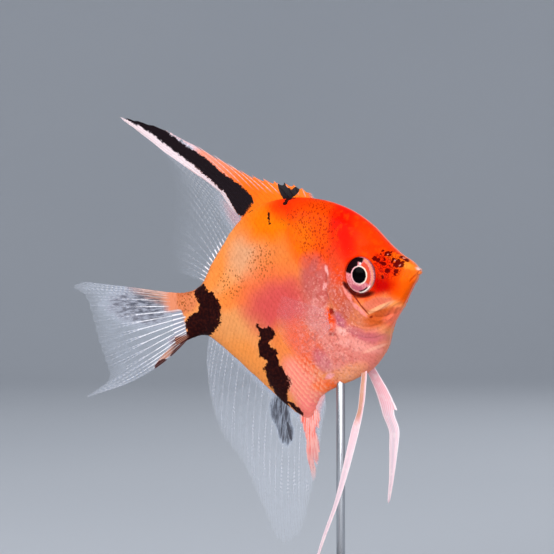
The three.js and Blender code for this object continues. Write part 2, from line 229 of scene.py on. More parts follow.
@dataclass(frozen=True)
class Line:
    """A line in the fish's own plane, smoothed through its points."""

    points: tuple[tuple[float, float], ...]
    steps: int = 6

    def samples(self) -> np.ndarray:
        """The smoothed line's points, as x and z."""
        rows = np.array(self.points, float)
        return row_at(rows, np.linspace(0, 1, (len(rows) - 1) * self.steps + 1))

    def measure(self, places: np.ndarray) -> tuple[np.ndarray, np.ndarray]:
        """Measures how places lie to the line.

        Args:
            places: Points as x and z, one a row.

        Returns:
            The distance of each, positive to the line's left, and its share of the line's length.
        """
        line = self.samples()
        run = np.concatenate([[0], np.cumsum(np.linalg.norm(np.diff(line, axis=0), axis=1))])
        nearest = np.full(len(places), np.inf)
        share = np.zeros(len(places))
        for index, (start, end) in enumerate(zip(line[:-1], line[1:])):
            leg = end - start
            t = np.clip((places - start) @ leg / (leg @ leg), 0, 1)
            gap = places - start - t[:, None] * leg
            distance = np.linalg.norm(gap, axis=1)
            left = leg[0] * gap[:, 1] - leg[1] * gap[:, 0] >= 0
            closer = distance < np.abs(nearest)
            nearest = np.where(closer, np.where(left, distance, -distance), nearest)
            share = np.where(closer, (run[index] + t * (run[index + 1] - run[index])) / run[-1], share)
        return nearest, share


# ---------------------------------------------------------------- mesh work


def deselect() -> None:
    """Leaves edit mode and selects nothing."""
    if bpy.context.object and bpy.context.object.mode != "OBJECT":
        bpy.ops.object.mode_set(mode="OBJECT")
    bpy.ops.object.select_all(action="DESELECT")


def named(name: str) -> bpy.types.Object:
    """Names the object that an operator has just added, and its mesh."""
    piece = bpy.context.object
    piece.name = name
    piece.data.name = name
    return piece


def coordinates(piece: bpy.types.Object) -> np.ndarray:
    """Reads a mesh's points, one a row."""
    found = np.zeros(len(piece.data.vertices) * 3)
    piece.data.vertices.foreach_get("co", found)
    return found.reshape(-1, 3)


def move_points(piece: bpy.types.Object, points: np.ndarray) -> None:
    """Gives a mesh new points, one a row."""
    piece.data.vertices.foreach_set("co", np.ascontiguousarray(points, float).ravel())
    piece.data.update()


def paint_map(piece: bpy.types.Object, name: str, by_point: np.ndarray) -> None:
    """Writes a UV map from one pair of numbers for each point of a mesh."""
    mesh = piece.data
    layer = mesh.uv_layers.get(name) or mesh.uv_layers.new(name=name)
    corner = np.zeros(len(mesh.loops), int)
    mesh.loops.foreach_get("vertex_index", corner)
    layer.data.foreach_set("uv", np.ascontiguousarray(by_point[corner], float).ravel())


def attribute(piece: bpy.types.Object, name: str, by_point: np.ndarray) -> None:
    """Writes one number for each point of a mesh as an attribute."""
    piece.data.attributes.new(name, "FLOAT", "POINT").data.foreach_set("value", by_point.astype(float))


def sheet(name: str, columns: int, rows: int) -> tuple[bpy.types.Object, np.ndarray]:
    """Adds a flat grid, and reads where its points lie on it.

    Args:
        name: The new object's name.
        columns: Faces along the first direction.
        rows: Faces along the second.

    Returns:
        The object, and each point's share along both directions.
    """
    deselect()
    bpy.ops.mesh.primitive_grid_add(x_subdivisions=columns, y_subdivisions=rows, size=2)
    piece = named(name)
    while piece.data.uv_layers:
        piece.data.uv_layers.remove(piece.data.uv_layers[0])
    return piece, coordinates(piece)[:, :2] / 2 + 0.5


def choose(piece: bpy.types.Object) -> None:
    """Selects one piece and nothing else, and makes it active."""
    deselect()
    piece.select_set(True)
    bpy.context.view_layer.objects.active = piece


def modify(piece: bpy.types.Object, kind: str, **settings: object) -> None:
    """Adds a modifier to a piece and applies it."""
    choose(piece)
    modifier = piece.modifiers.new(kind.title(), kind)
    for key, value in settings.items():
        setattr(modifier, key, value)
    bpy.ops.object.modifier_apply(modifier=modifier.name)


def edit(piece: bpy.types.Object, *steps: Callable[[], object]) -> None:
    """Runs operators in edit mode on all of a piece's faces."""
    choose(piece)
    bpy.ops.object.mode_set(mode="EDIT")
    bpy.ops.mesh.select_all(action="SELECT")
    for step in steps:
        step()
    bpy.ops.object.mode_set(mode="OBJECT")


def weld(piece: bpy.types.Object) -> None:
    """Joins points that lie in one place and turns all faces outwards."""
    edit(
        piece,
        lambda: bpy.ops.mesh.remove_doubles(threshold=SAME_PLACE),
        lambda: bpy.ops.mesh.normals_make_consistent(inside=False),
    )


def smooth(piece: bpy.types.Object, angle: float | None = None) -> None:
    """Shades a piece smooth, all over or up to an angle in degrees."""
    choose(piece)
    if angle is None:
        bpy.ops.object.shade_smooth()
    else:
        bpy.ops.object.shade_smooth_by_angle(angle=math.radians(angle))


def repeat(name: str, template: bpy.types.Object, points: np.ndarray) -> bpy.types.Object:
    """Joins many copies of a template in one mesh, each with points of its own.

    Args:
        name: The new piece's name.
        template: The piece to copy, which is removed.
        points: The copies' points, as copies x points x 3.

    Returns:
        The joined piece.
    """
    faces = [tuple(face.vertices) for face in template.data.polygons]
    count = points.shape[1]
    joined = [tuple(copy * count + point for point in face) for copy in range(len(points)) for face in faces]
    mesh = bpy.data.meshes.new(name)
    mesh.from_pydata(points.reshape(-1, 3).tolist(), [], joined)
    piece = bpy.data.objects.new(name, mesh)
    bpy.context.scene.collection.objects.link(piece)
    bpy.data.objects.remove(template)
    return piece


def finish_piece(piece: bpy.types.Object, material: bpy.types.Material, slot: str, *nodes: str) -> None:
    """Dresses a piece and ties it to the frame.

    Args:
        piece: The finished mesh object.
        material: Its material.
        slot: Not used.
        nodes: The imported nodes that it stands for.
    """
    piece.data.materials.clear()
    piece.data.materials.append(material)
    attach(piece, BODY_NAME)
    if nodes:
        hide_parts(*nodes)
    LOG.info("%s: %d faces", piece.name, len(piece.data.polygons))


# ---------------------------------------------------------------- shader work


def colour(red: float, green: float, blue: float) -> tuple[float, float, float, float]:
    """Turns screen values from 0 to 255 into a linear colour, by the usual screen curve."""
    shares = [value / 255 for value in (red, green, blue)]
    linear = [s / 12.92 if s <= 0.04045 else ((s + 0.055) / 1.055) ** 2.4 for s in shares]
    return (*linear, 1.0)


# Share of its radius over which a mark fades before marks are joined.
MARK_FADE = 0.36


class Wire:
    """A shader socket that Python arithmetic turns into Math nodes."""

    def __init__(self, shop: "Shop", socket: bpy.types.NodeSocket) -> None:
        """Keeps the socket and the shop that adds nodes for it."""
        self.shop = shop
        self.socket = socket

    def __add__(self, other: "Wire | float") -> "Wire":
        """Adds a wire or a number."""
        return self.shop.math("ADD", self, other)

    __radd__ = __add__

    def __sub__(self, other: "Wire | float") -> "Wire":
        """Takes away a wire or a number."""
        return self.shop.math("SUBTRACT", self, other)

    def __rsub__(self, other: float) -> "Wire":
        """Takes the wire from a number."""
        return self.shop.math("SUBTRACT", other, self)

    def __mul__(self, other: "Wire | float") -> "Wire":
        """Multiplies by a wire or a number."""
        return self.shop.math("MULTIPLY", self, other)

    __rmul__ = __mul__

    def __truediv__(self, other: "Wire | float") -> "Wire":
        """Divides by a wire or a number."""
        return self.shop.math("DIVIDE", self, other)

    def step(self, low: float, high: float) -> "Wire":
        """Rises smoothly from 0 at low to 1 at high, or falls where high is the lower."""
        settings = {"interpolation_type": "SMOOTHSTEP"}
        return self.shop.node("ShaderNodeMapRange", settings, {0: self, 1: low, 2: high})

    def band(self, low: float, high: float, soft: float) -> "Wire":
        """1 between two values, with soft edges."""
        return self.step(low - soft, low + soft) * self.step(high + soft, high - soft)

    def about(self, level: float, soft: float) -> "Wire":
        """Rises from 0 to 1 round a level; a negative softness makes it fall."""
        return self.step(level - soft, level + soft)


class Shop:
    """Builds the node tree of one material."""

    def __init__(self, name: str) -> None:
        """Adds a material with an empty tree."""
        self.material = bpy.data.materials.new(name)
        self.material.use_nodes = True
        self.tree = self.material.node_tree
        self.tree.nodes.clear()

    def node(self, kind: str, settings: dict | None = None, inputs: dict | None = None,
             output: int | str = 0) -> Wire:
        """Adds a node.

        Args:
            kind: The node's type.
            settings: Its own settings, set first; "stops" are a ramp's places and colours.
            inputs: Values or wires by socket name or number.
            output: The socket to hand back.

        Returns:
            The chosen output.
        """
        added = self.tree.nodes.new(kind)
        for key, value in (settings or {}).items():
            if key == "stops":
                self.set_stops(added.color_ramp, value)
            else:
                setattr(added, key, value)
        for key, value in (inputs or {}).items():
            self.feed(added.inputs[key], value)
        return Wire(self, added.outputs[output])

    def set_stops(self, ramp: bpy.types.ColorRamp, stops: list[tuple[float, tuple]]) -> None:
        """Gives a colour ramp its places and colours."""
        while len(ramp.elements) < len(stops):
            ramp.elements.new(1.0)
        for element, (place, shade) in zip(ramp.elements, stops):
            element.position = place
            element.color = shade

    def feed(self, socket: bpy.types.NodeSocket, value: object) -> None:
        """Links a wire to a socket, or sets the socket's own value."""
        if isinstance(value, Wire):
            self.tree.links.new(value.socket, socket)
        else:
            socket.default_value = value

    def math(self, operation: str, *values: Wire | float) -> Wire:
        """Adds a Math node."""
        return self.node("ShaderNodeMath", {"operation": operation}, dict(enumerate(values)))

    def vector(self, operation: str, *values: Wire | tuple) -> Wire:
        """Adds a Vector Math node that gives a vector."""
        return self.node("ShaderNodeVectorMath", {"operation": operation}, dict(enumerate(values)))

    def measure(self, operation: str, *values: Wire | tuple) -> Wire:
        """Adds a Vector Math node that gives a number."""
        settings = {"operation": operation}
        return self.node("ShaderNodeVectorMath", settings, dict(enumerate(values)), output="Value")

    def scaled(self, vector: Wire, factor: float) -> Wire:
        """Multiplies a vector by a number."""
        return self.node("ShaderNodeVectorMath", {"operation": "SCALE"}, {0: vector, "Scale": factor})

    def flattened(self, place: Wire) -> Wire:
        """A place with its y left out."""
        return self.vector("MULTIPLY", place, (1.0, 0.0, 1.0))

    def mix(self, first: Wire | tuple, second: Wire | tuple, share: Wire | float) -> Wire:
        """Mixes two colours; a share of 1 gives the second."""
        inputs = {0: share, 6: first, 7: second}
        return self.node("ShaderNodeMix", {"data_type": "RGBA"}, inputs, output=2)

    def laid(self, tint: Wire | tuple, *layers: tuple[tuple[float, float, float], Wire]) -> Wire:
        """Lays colours over one another.

        Args:
            tint: What they are laid on.
            layers: Each a colour in screen values and its share.

        Returns:
            The colour on top.
        """
        for shade, share in layers:
            tint = self.mix(tint, colour(*shade), share)
        return tint

    def largest(self, *wires: Wire) -> Wire:
        """The largest of several wires at each place."""
        found = wires[0]
        for wire in wires[1:]:
            found = self.math("MAXIMUM", found, wire)
        return found

    def patches(self, flat: Wire, marks: tuple["Mark", ...], soft: float) -> Wire:
        """Several soft ellipses as one."""
        return self.largest(*[self.patch(flat, mark, soft) for mark in marks])

    def noise(self, place: Wire, size: float, detail: float = 2.0, output: int = 0) -> Wire:
        """Noise with lumps of about a size, in the units of the place; output 1 is a vector."""
        inputs = {"Vector": place, "Scale": 1 / size, "Detail": detail}
        return self.node("ShaderNodeTexNoise", {}, inputs, output=output)

    def shifted(self, flat: Wire, place: Wire, size: float, reach: float) -> Wire:
        """Moves flat places about by noise, so that marks get uneven edges.

        Args:
            flat: The places to move.
            place: Where the noise is read.
            size: Size of the noise's lumps in millimetres.
            reach: How far a place moves.

        Returns:
            The moved places.
        """
        offset = self.vector("SUBTRACT", self.noise(place, size, detail=3.0, output=1), (0.5, 0.5, 0.5))
        return self.vector("ADD", flat, self.scaled(offset, 2 * reach))

    def fish_place(self) -> Wire:
        """The place on the fish in its own millimetres."""
        here = self.node("ShaderNodeTexCoord", output="Object")
        inputs = {
            "Vector": here,
            "Location": (FISH.tail_x * MM, 0.0, FISH.tail_z * MM),
            "Rotation": (0.0, -FISH.nose_up, 0.0),
            "Scale": (MM, MM, MM),
        }
        return self.node("ShaderNodeMapping", {"vector_type": "TEXTURE"}, inputs)

    def parts(self, vector: Wire) -> tuple[Wire, Wire, Wire]:
        """A vector's x, y and z."""
        split = self.node("ShaderNodeSeparateXYZ", {}, {0: vector}).socket.node
        return tuple(Wire(self, socket) for socket in split.outputs)

    def map_place(self, name: str) -> tuple[Wire, Wire]:
        """The two coordinates of one of the piece's own UV maps."""
        across, outward, _ = self.parts(self.node("ShaderNodeUVMap", {"uv_map": name}))
        return across, outward

    def patch(self, flat: Wire, mark: "Mark", soft: float) -> Wire:
        """A soft ellipse in the fish's plane.

        Args:
            flat: Places with no y, in fish millimetres.
            mark: The ellipse.
            soft: Share of its radius over which it fades.

        Returns:
            1 within the ellipse and 0 outside it.
        """
        if not mark.turn:
            scale = (1 / mark.long, 0.0, 1 / mark.high)
            shift = (-mark.x / mark.long, 0.0, -mark.z / mark.high)
            away = self.measure("LENGTH", self.vector("MULTIPLY_ADD", flat, scale, shift))
            return away.about(1, -soft)
        cosine, sine = math.cos(math.radians(mark.turn)), math.sin(math.radians(mark.turn))
        along = self.measure("DOT_PRODUCT", flat, (cosine / mark.long, 0.0, sine / mark.long))
        above = self.measure("DOT_PRODUCT", flat, (-sine / mark.high, 0.0, cosine / mark.high))
        along = along - (mark.x * cosine + mark.z * sine) / mark.long
        above = above - (mark.z * cosine - mark.x * sine) / mark.high
        return (along * along + above * above).step((1 + soft) ** 2, (1 - soft) ** 2)

    def joined(self, flat: Wire, marks: tuple["Mark", ...], level: float, soft: float, grain: Wire) -> Wire:
        """Marks that flow together where they lie close, with a grainy edge.

        Args:
            flat: Places with no y, in fish millimetres.
            marks: The ellipses.
            level: How high their sum has to be.
            soft: How far round that level the edge fades.
            grain: What is added to the sum.

        Returns:
            1 within the marks and 0 outside them.
        """
        total = grain
        for mark in marks:
            total = total + self.patch(flat, mark, MARK_FADE)
        return total.about(level, soft)

    def darkened(self, tint: Wire, by: tuple[float, float, float], share: Wire) -> Wire:
        """Multiplies a colour by another, as far as a share says."""
        inputs = {0: share, 6: tint, 7: (*by, 1.0)}
        return self.node("ShaderNodeMix", {"data_type": "RGBA", "blend_type": "MULTIPLY"}, inputs, output=2)

    def curve(self, value: Wire, points: tuple[tuple[float, float], ...]) -> Wire:
        """A number that runs straight from point to point, each a value from 0 to 1 and its height."""
        stops = [(place, (height, height, height, 1.0)) for place, height in points]
        return self.node("ShaderNodeValToRGB", {"stops": stops}, {0: value})

    def bumped(self, height: Wire, strength: float, distance: float, under: Wire | None = None) -> Wire:
        """A Bump node's normal, laid over another where one is given."""
        inputs = {"Strength": strength, "Distance": distance, "Height": height}
        if under:
            inputs["Normal"] = under
        return self.node("ShaderNodeBump", {}, inputs)

    def shade(self, **inputs: object) -> bpy.types.Material:
        """Ends the tree in a Principled shader.

        Args:
            inputs: The shader's inputs, with _ for the spaces in their names.

        Returns:
            The finished material.
        """
        named_inputs = {key.replace("_", " "): value for key, value in inputs.items()}
        shader = self.node("ShaderNodeBsdfPrincipled", {}, named_inputs)
        out = self.tree.nodes.new("ShaderNodeOutputMaterial")
        self.tree.links.new(shader.socket, out.inputs["Surface"])
        return self.material


@dataclass(frozen=True)
class Mark:
    """An elliptical mark on the flank, in the fish's plane: its centre, half axes and turn in degrees."""

    x: float
    z: float
    long: float
    high: float
    turn: float = 0.0


def marks(*rows: tuple[float, ...]) -> tuple[Mark, ...]:
    """Makes marks of rows of numbers."""
    return tuple(Mark(*row) for row in rows)


@dataclass(frozen=True)
class Wash:
    """A soft wash of one colour over a mark."""

    tint: tuple[float, float, float]
    mark: Mark
    soft: float
    strength: float


# Washes of colour, laid one over another from the flank to the head. Each row: the colour, the mark's
# centre x and z, half axes and turn, the share of its radius over which it fades, and its strength.
WASHES = tuple(Wash(tint, Mark(*mark), soft, strength) for tint, mark, soft, strength in (
    ((252, 144, 62), (8.8, 7.2, 6.5, 1.7, 46), 0.6, 0.8),
    ((250, 154, 74), (12, -10, 8.5, 2.6, -48), 0.6, 0.9),
    ((232, 158, 96), (11.5, -3.6, 5.5, 3.2, 0), 0.6, 0.7),
    ((252, 136, 54), (12.6, 1.2, 4.5, 1.5, 8), 0.8, 0.8),
    ((224, 164, 122), (18, 9.6, 5.5, 4.2, 35), 0.6, 0.95),
    ((248, 122, 6), (23.5, 13.8, 8.6, 4.4, -8), 0.5, 1),
    ((238, 122, 44), (23, 6, 5, 3.6, 8), 0.7, 0.8),
    ((240, 112, 66), (19.6, 1.6, 6, 3.2, 6), 0.7, 0.8),
    ((214, 84, 80), (22, -2.4, 6.4, 4.4, -4), 0.6, 1),
    ((240, 132, 66), (21, -9.4, 2.4, 4, 0), 0.6, 0.9),
    ((246, 134, 118), (22.8, -16.6, 3.2, 5.2, 14), 0.4, 0.95),
    ((248, 128, 120), (22.4, -21.4, 2.4, 2.6, 0), 0.5, 0.9),
    ((255, 42, 2), (36.6, 10.2, 9.2, 8.8, -30), 0.34, 1),
    ((255, 52, 4), (27.8, 16.1, 6.2, 3.1, -12), 0.5, 1),
    ((250, 84, 2), (30, 9.8, 3.6, 4.4, 10), 0.9, 0.95),
    ((250, 112, 2), (27.7, 9.2, 2.2, 2.9, 0), 0.9, 0.95),
    ((252, 58, 4), (39.2, 3, 6.6, 6.6, -20), 0.35, 1),
    ((255, 8, 2), (35.7, 9.4, 1.9, 4.8, 3), 0.8, 0.9),
    ((224, 72, 34), (33.7, 1.4, 2, 5.6, 0), 0.5, 0.8),
    ((198, 94, 86), (29.7, 0.9, 2.8, 4.8, 6), 0.42, 1),
    ((216, 116, 110), (28.9, -6, 2, 3.6, 10), 0.4, 0.9),
    ((232, 130, 116), (33.4, -11.2, 6.8, 5.8, -20), 0.3, 1),
    ((240, 92, 50), (25.2, -10, 2.4, 4.4, 16), 0.6, 0.95),
    ((206, 112, 126), (27.6, -13, 1.3, 2.2, 20), 0.5, 0.75),
    ((255, 112, 50), (27.2, -17.5, 2.4, 1.1, -2), 0.6, 1),
    ((250, 162, 112), (32, -15.9, 2.8, 1.1, 12), 0.7, 0.9),
    ((202, 84, 60), (34, -2.9, 1.7, 3, 14), 0.5, 0.9),
    ((196, 88, 64), (34.9, -5.2, 1.3, 1.9, -25), 0.6, 0.9),
    ((220, 122, 78), (36.4, -7.3, 1.9, 1.5, -30), 0.7, 0.9),
    ((214, 94, 40), (40.2, -7.2, 2.6, 1.3, 14), 0.5, 1),
    ((255, 122, 90), (42.4, -7.6, 1.9, 1.1, 40), 0.6, 1),
    ((192, 96, 116), (32.9, -6.4, 0.8, 1.5, 16), 0.5, 0.9),
    ((200, 104, 112), (35.4, -9, 1.6, 0.8, -32), 0.6, 0.7),
    ((196, 92, 108), (38, -10.6, 2, 0.8, -8), 0.6, 0.65),
    ((255, 180, 166), (33, -8.6, 0.9, 0.7, -30), 0.6, 0.9),
    ((255, 172, 158), (35, -11.4, 3.2, 0.8, -24), 0.7, 0.6),
    ((255, 186, 160), (37.8, -12.5, 1.6, 0.22, 12), 0.8, 0.7),
    ((250, 92, 6), (45.2, -2.4, 2.6, 3, -24), 0.35, 1),
    ((252, 104, 12), (46.4, 0.6, 2.4, 1.9, -40), 0.5, 0.9),
    ((242, 56, 2), (42.7, -0.8, 1.5, 2.3, 10), 0.7, 0.85),
    ((200, 2, 0), (41.5, -1.5, 1.7, 1.5, -30), 0.7, 1),
    ((255, 150, 48), (46.7, 1, 0.9, 0.45, -30), 0.8, 0.8),
    ((226, 14, 2), (43.1, 1.6, 2.1, 1.4, -35), 0.7, 0.6),
    ((255, 112, 6), (44.4, 3, 1.1, 0.6, -30), 0.7, 0.7),
    ((200, 88, 44), (41.2, -6.6, 1.9, 0.5, 10), 0.6, 0.6),
    ((230, 122, 92), (40.3, -4.8, 2.5, 1.1, 4), 0.25, 1),
    ((228, 104, 74), (40.3, -4.3, 1.3, 0.5, 0), 0.8, 0.5),
    # Painted highlight: a pale pink spot on the tip of the snout.
    ((255, 222, 214), (48.3, 0.3, 0.45, 0.4, 0), 0.6, 0.9),
    # Painted highlight: a thin pale line along the lower edge of the cheek's lobe.
    ((255, 178, 128), (40.6, -5.5, 2, 0.28, 16), 0.7, 0.9),
    ((248, 142, 130), (35.3, -2.1, 1.35, 0.32, -70), 0.5, 1),
    ((248, 142, 130), (36.9, -5.1, 1.7, 0.36, -54), 0.5, 1),
    # Painted shade: dark lines in the groove below the eye, where it runs down the cheek.
    ((140, 14, 16), (36.8, -3.4, 1.1, 0.15, -63), 0.6, 0.9),
    ((140, 14, 16), (37.8, -5.3, 1.1, 0.14, -60), 0.6, 0.9),
    ((120, 24, 12), (38.8, -6.9, 0.26, 0.22, 0), 0.6, 0.9),
    ((250, 74, 0), (31.1, -6.1, 0.8, 2.1, 4), 0.35, 1),
    ((140, 12, 10), (31.7, -4.6, 0.32, 0.5, 10), 0.6, 0.95),
    ((140, 22, 24), (30.9, -8.6, 0.6, 0.35, 0), 0.6, 0.85),
    ((255, 196, 190), (32.1, 2.8, 0.28, 0.8, 10), 0.6, 0.9),
    ((255, 190, 184), (31.3, 0.1, 0.5, 0.3, 40), 0.6, 0.9),
    ((255, 170, 176), (28.1, -16, 0.8, 0.35, 10), 0.6, 0.9),
    ((226, 132, 86), (0.6, 2.1, 3.6, 2.1, 0), 0.3, 1),
    ((206, 112, 74), (1.2, 4.2, 3.6, 0.7, 0), 0.6, 0.8),
))

# Painted shade: the dark crease below and behind the eye.
EYE_CREASE_SHADE = marks(
    (35.32, -0.6, 0.85, 0.38, -64), (36.3, -1.85, 1.3, 0.5, -46), (38.25, -2.68, 1.7, 0.56, -3),
)

# The black marks: back spots, flank streak and tail patch.
BLACK_MARKS = marks(
    (25.6, 18, 1.6, 0.9, 0), (24.7, 16.8, 0.5, 0.5, 0), (21.2, 14.6, 0.22, 1.2, 9),
    (16.4, 17.3, 1.7, 0.9, 25), (16.7, -5.3, 1.1, 0.45, -53), (18, -6.5, 1.6, 1.2, -10),
    (16.8, -8.4, 1.25, 1.3, 0), (17.3, -9.9, 1.9, 1.15, -10), (18, -11.6, 1.15, 1.2, 0),
    (17.6, -13.4, 2.1, 1.7, -20), (18.1, -15.4, 2.5, 1.9, -15), (17.6, -17.9, 1.5, 1.5, 0),
    (17.9, -19.4, 0.7, 1.1, 10), (20, -20.7, 1.8, 0.62, -52), (4.9, 3.5, 1.6, 1.6, 0),
    (6.6, 2, 1.6, 1.5, 0), (5.6, 0.8, 1.5, 1.8, 0), (7.3, 0.2, 1.9, 1.9, 0), (5.3, -1.9, 3.3, 2.2, 0),
    (2.6, -2.1, 2.2, 1.9, 0), (1.4, -3.9, 2, 1, 20), (4.2, -3.6, 1.7, 1.2, 0),
)

# Dark red freckles of the snout.
FRECKLES = marks(
    (41.1, 3.35, 0.4, 0.36, -10), (41.7, 2.95, 0.34, 0.4, -35), (42.5, 2.15, 0.46, 0.32, -35),
    (41.95, 2.4, 0.24, 0.16, 0), (42.75, 2.95, 0.2, 0.3), (43.3, 4, 0.44, 0.28, -10),
    (43, 3.65, 0.24, 0.22), (42.6, 4.5, 0.22, 0.18), (43.6, 3.5, 0.3, 0.2), (43.9, 4, 0.22, 0.18),
    (44.3, 2.65, 0.36, 0.26, -20), (44, 2.25, 0.24, 0.22), (44.7, 1.6, 0.62, 0.5),
    (45.35, 1.35, 0.62, 0.42, -10), (45, 2.15, 0.42, 0.3, -20), (45.75, 1.85, 0.34, 0.24),
    (43, 0.78, 0.44, 0.44), (42.04, -0.15, 0.2, 0.36), (44.5, 0.4, 0.36, 0.42), (44.2, -0.1, 0.16, 0.3),
    (45.6, 2.75, 0.42, 0.2, -30), (46.2, 2.25, 0.4, 0.2, -30), (46.6, 1.9, 0.26, 0.16, -30),
    (43.5, 1.6, 0.16, 0.2), (42.2, 3.95, 0.18, 0.14),
)

# Pale flecks among the freckles.
FLECKS = marks(
    (44.49, 2.37, 0.16, 0.14), (45.25, 1.35, 0.22, 0.1, 40), (43.35, 3.7, 0.13, 0.1),
    (45.9, 2.55, 0.24, 0.1, -30),
)

# The tail's root, where skin and fin meet in the same colours: peach above, brown below, and between
# them rays, whose places across the stalk follow a curve. Each pair is a height from which it fades in.
TAIL_TOP = (230, 142, 104)
TAIL_LOW = (78, 34, 30)
TAIL_PEACH_FROM = (0.7, 1.6)
TAIL_BROWN_FROM = (-3.3, -4.0)
TAIL_RAYS = 17
ROOT_CURVE = ((0.0, 1.0), (0.06, 0.875), (0.143, 0.75), (0.298, 0.625), (0.476, 0.5), (0.667, 0.375),
              (0.845, 0.25), (0.94, 0.125), (1.0, 0.0))

# Where small dark pepper dots lie.
PEPPER_AREAS = marks(
    (30.8, 10.4, 3.8, 5.6, 6), (19, 7, 3, 3.4, 0), (11.7, 4, 3, 2.8, 0), (27, 13.6, 3.4, 1.6, 0),
    (1.2, 2.6, 2.4, 2.2, 0),
)


@dataclass(frozen=True)
class SkinPaint:
    """The markings and the moist gloss that skin and scales share: colours, zones and finish."""

    ground: tuple[float, float, float] = (244, 155, 88)
    black: tuple[float, float, float] = (26, 10, 12)
    soot: tuple[float, float, float] = (80, 30, 20)
    # Colour of the painted rim light along the outline.
    rim: tuple[float, float, float] = (252, 160, 140)
    # Colour of the painted shade in the crease under the eye.
    crease: tuple[float, float, float] = (50, 0, 4)
    web: tuple[float, float, float] = (170, 2, 2)
    freckle: tuple[float, float, float] = (92, 0, 4)
    fleck: tuple[float, float, float] = (248, 140, 118)
    brown_dot: tuple[float, float, float] = (132, 70, 18)
    red_dot: tuple[float, float, float] = (150, 8, 0)
    pale: tuple[float, float, float] = (255, 190, 178)
    dusky: tuple[float, float, float] = (190, 70, 70)
    warm: tuple[float, float, float] = (250, 86, 2)
    dusk: tuple[float, float, float] = (0.66, 0.50, 0.45)
    plate_light: tuple[float, float, float] = (255, 188, 182)
    plate_edge: tuple[float, float, float] = (255, 196, 160)
    plate_dusk: tuple[float, float, float] = (0.72, 0.55, 0.50)
    webbed: Mark = Mark(43.2, 1.8, 2.7, 2.3, -35.0)
    breast: Mark = Mark(30.4, -8.0, 5.6, 9.5, -8.0)
    crown: Mark = Mark(36.6, 9.0, 9.5, 9.0, -30.0)
    plate_front: Mark = Mark(30.6, -8.5, 5.0, 9.0, -8.0)
    keel: Mark = Mark(23.4, -16.6, 3.4, 5.0, 14.0)
    fine_mark: float = 0.3
    small_mark: float = 1.5
    red_from: tuple[float, float] = (24.0, 27.0)
    roughness: float = 0.38
    gloss: tuple[float, float, float] = (255, 72, 42)
    specular: float = 0.10
    coat: float = 0.02
    coat_roughness: float = 0.14
    pepper_gap: float = 0.36
    pepper_squash: float = 0.62

    def markings(self, shop: Shop, place: Wire) -> tuple[Wire, Wire]:
        """Lays out the colours of the whole flank.

        Args:
            shop: The material's shop.
            place: The place on the fish.

        Returns:
            The colour, and how black it is.
        """
        flat = shop.flattened(place)
        tint = self.mottled(shop, place, self.washed(shop, place, flat))
        grain = (shop.noise(place, 0.20, detail=3.0) - 0.5) * 0.9
        feather = (shop.noise(place, 0.26, detail=4.0) - 0.5) * 1.7
        web = shop.math("ABSOLUTE", shop.noise(place, 0.7, detail=2.0) - 0.5).step(0.060, 0.022)
        freckle = shop.joined(shop.shifted(flat, place, 0.30, 0.26), FRECKLES, 0.44, 0.14, grain * 0.9)
        tint = shop.laid(
            tint,
            # Painted shade in the crease below and behind the eye.
            (self.crease, shop.patches(flat, EYE_CREASE_SHADE, 0.5) * 0.95),
            (self.web, web * shop.patch(flat, self.webbed, 0.4) * 0.8),
            (self.freckle, freckle * 0.96),
            (self.fleck, shop.patches(flat, FLECKS, 0.4) * 0.85),
            # Painted rim light: a pale line along the outline of the head and belly.
            (self.rim, self.edge(shop, place) * 0.6),
        )
        forward = shop.parts(place)[0].step(*self.red_from)
        dots = shop.mix(colour(*self.brown_dot), colour(*self.red_dot), forward)
        tint = shop.mix(tint, dots, self.pepper(shop, place, flat) * (0.85 - forward * 0.20))
        rough = shop.shifted(shop.shifted(flat, place, 1.1, 0.55), place, 0.42, 0.36)
        black = shop.joined(rough, BLACK_MARKS, 0.54, 0.10, feather)
        patchy = shop.noise(place, 0.45, detail=4.0).step(0.40, 0.70)
        soot = shop.mix(colour(*self.black), colour(*self.soot), patchy * 0.42)
        return self.tail_root(shop, place, shop.mix(tint, soot, black)), black

    def washed(self, shop: Shop, place: Wire, flat: Wire) -> Wire:
        """Lays the washes over the ground, with edges that waver the more the larger they are.

        Args:
            shop: The material's shop.
            place: The place on the fish.
            flat: The same with no y.

        Returns:
            The colour.
        """
        drifting = shop.shifted(flat, place, 3.2, 1.1)
        wavering = shop.shifted(flat, place, 1.3, 0.40)
        tint = colour(*self.ground)
        for wash in WASHES:
            size = min(wash.mark.long, wash.mark.high)
            where = flat if size < self.fine_mark else wavering if size < self.small_mark else drifting
            tint = shop.laid(tint, (wash.tint, shop.patch(where, wash.mark, wash.soft) * wash.strength))
        return tint

    def tail_root(self, shop: Shop, place: Wire, tint: Wire) -> Wire:
        """Shows the pale bases of the tail's rays where the stalk thins out under them.

        Args:
            shop: The material's shop.
            place: The place on the fish.
            tint: The colour before.

        Returns:
            The colour with them.
        """
        x, _, z = shop.parts(place)
        peach, brown = z.step(*TAIL_PEACH_FROM), z.step(*TAIL_BROWN_FROM)
        level = (z / (1 - x * 0.078) + 4.4) / 8.4
        across = shop.curve(level, ROOT_CURVE)
        uneven = x + (shop.noise(place, 0.8) - 0.5) * 1.6 + z.step(0.6, 1.4)
        zone = uneven.step(0.6, 0.1)
        lines = shop.math("COSINE", (across * TAIL_RAYS - 0.5) * FULL_TURN).step(0.2, 0.9)
        film = shop.laid(colour(150, 154, 168), (TAIL_TOP, peach), (TAIL_LOW, brown))
        line = shop.mix(colour(246, 240, 242), colour(206, 148, 124), brown)
        return shop.mix(shop.mix(tint, film, zone), line, zone * lines * (1 - peach))

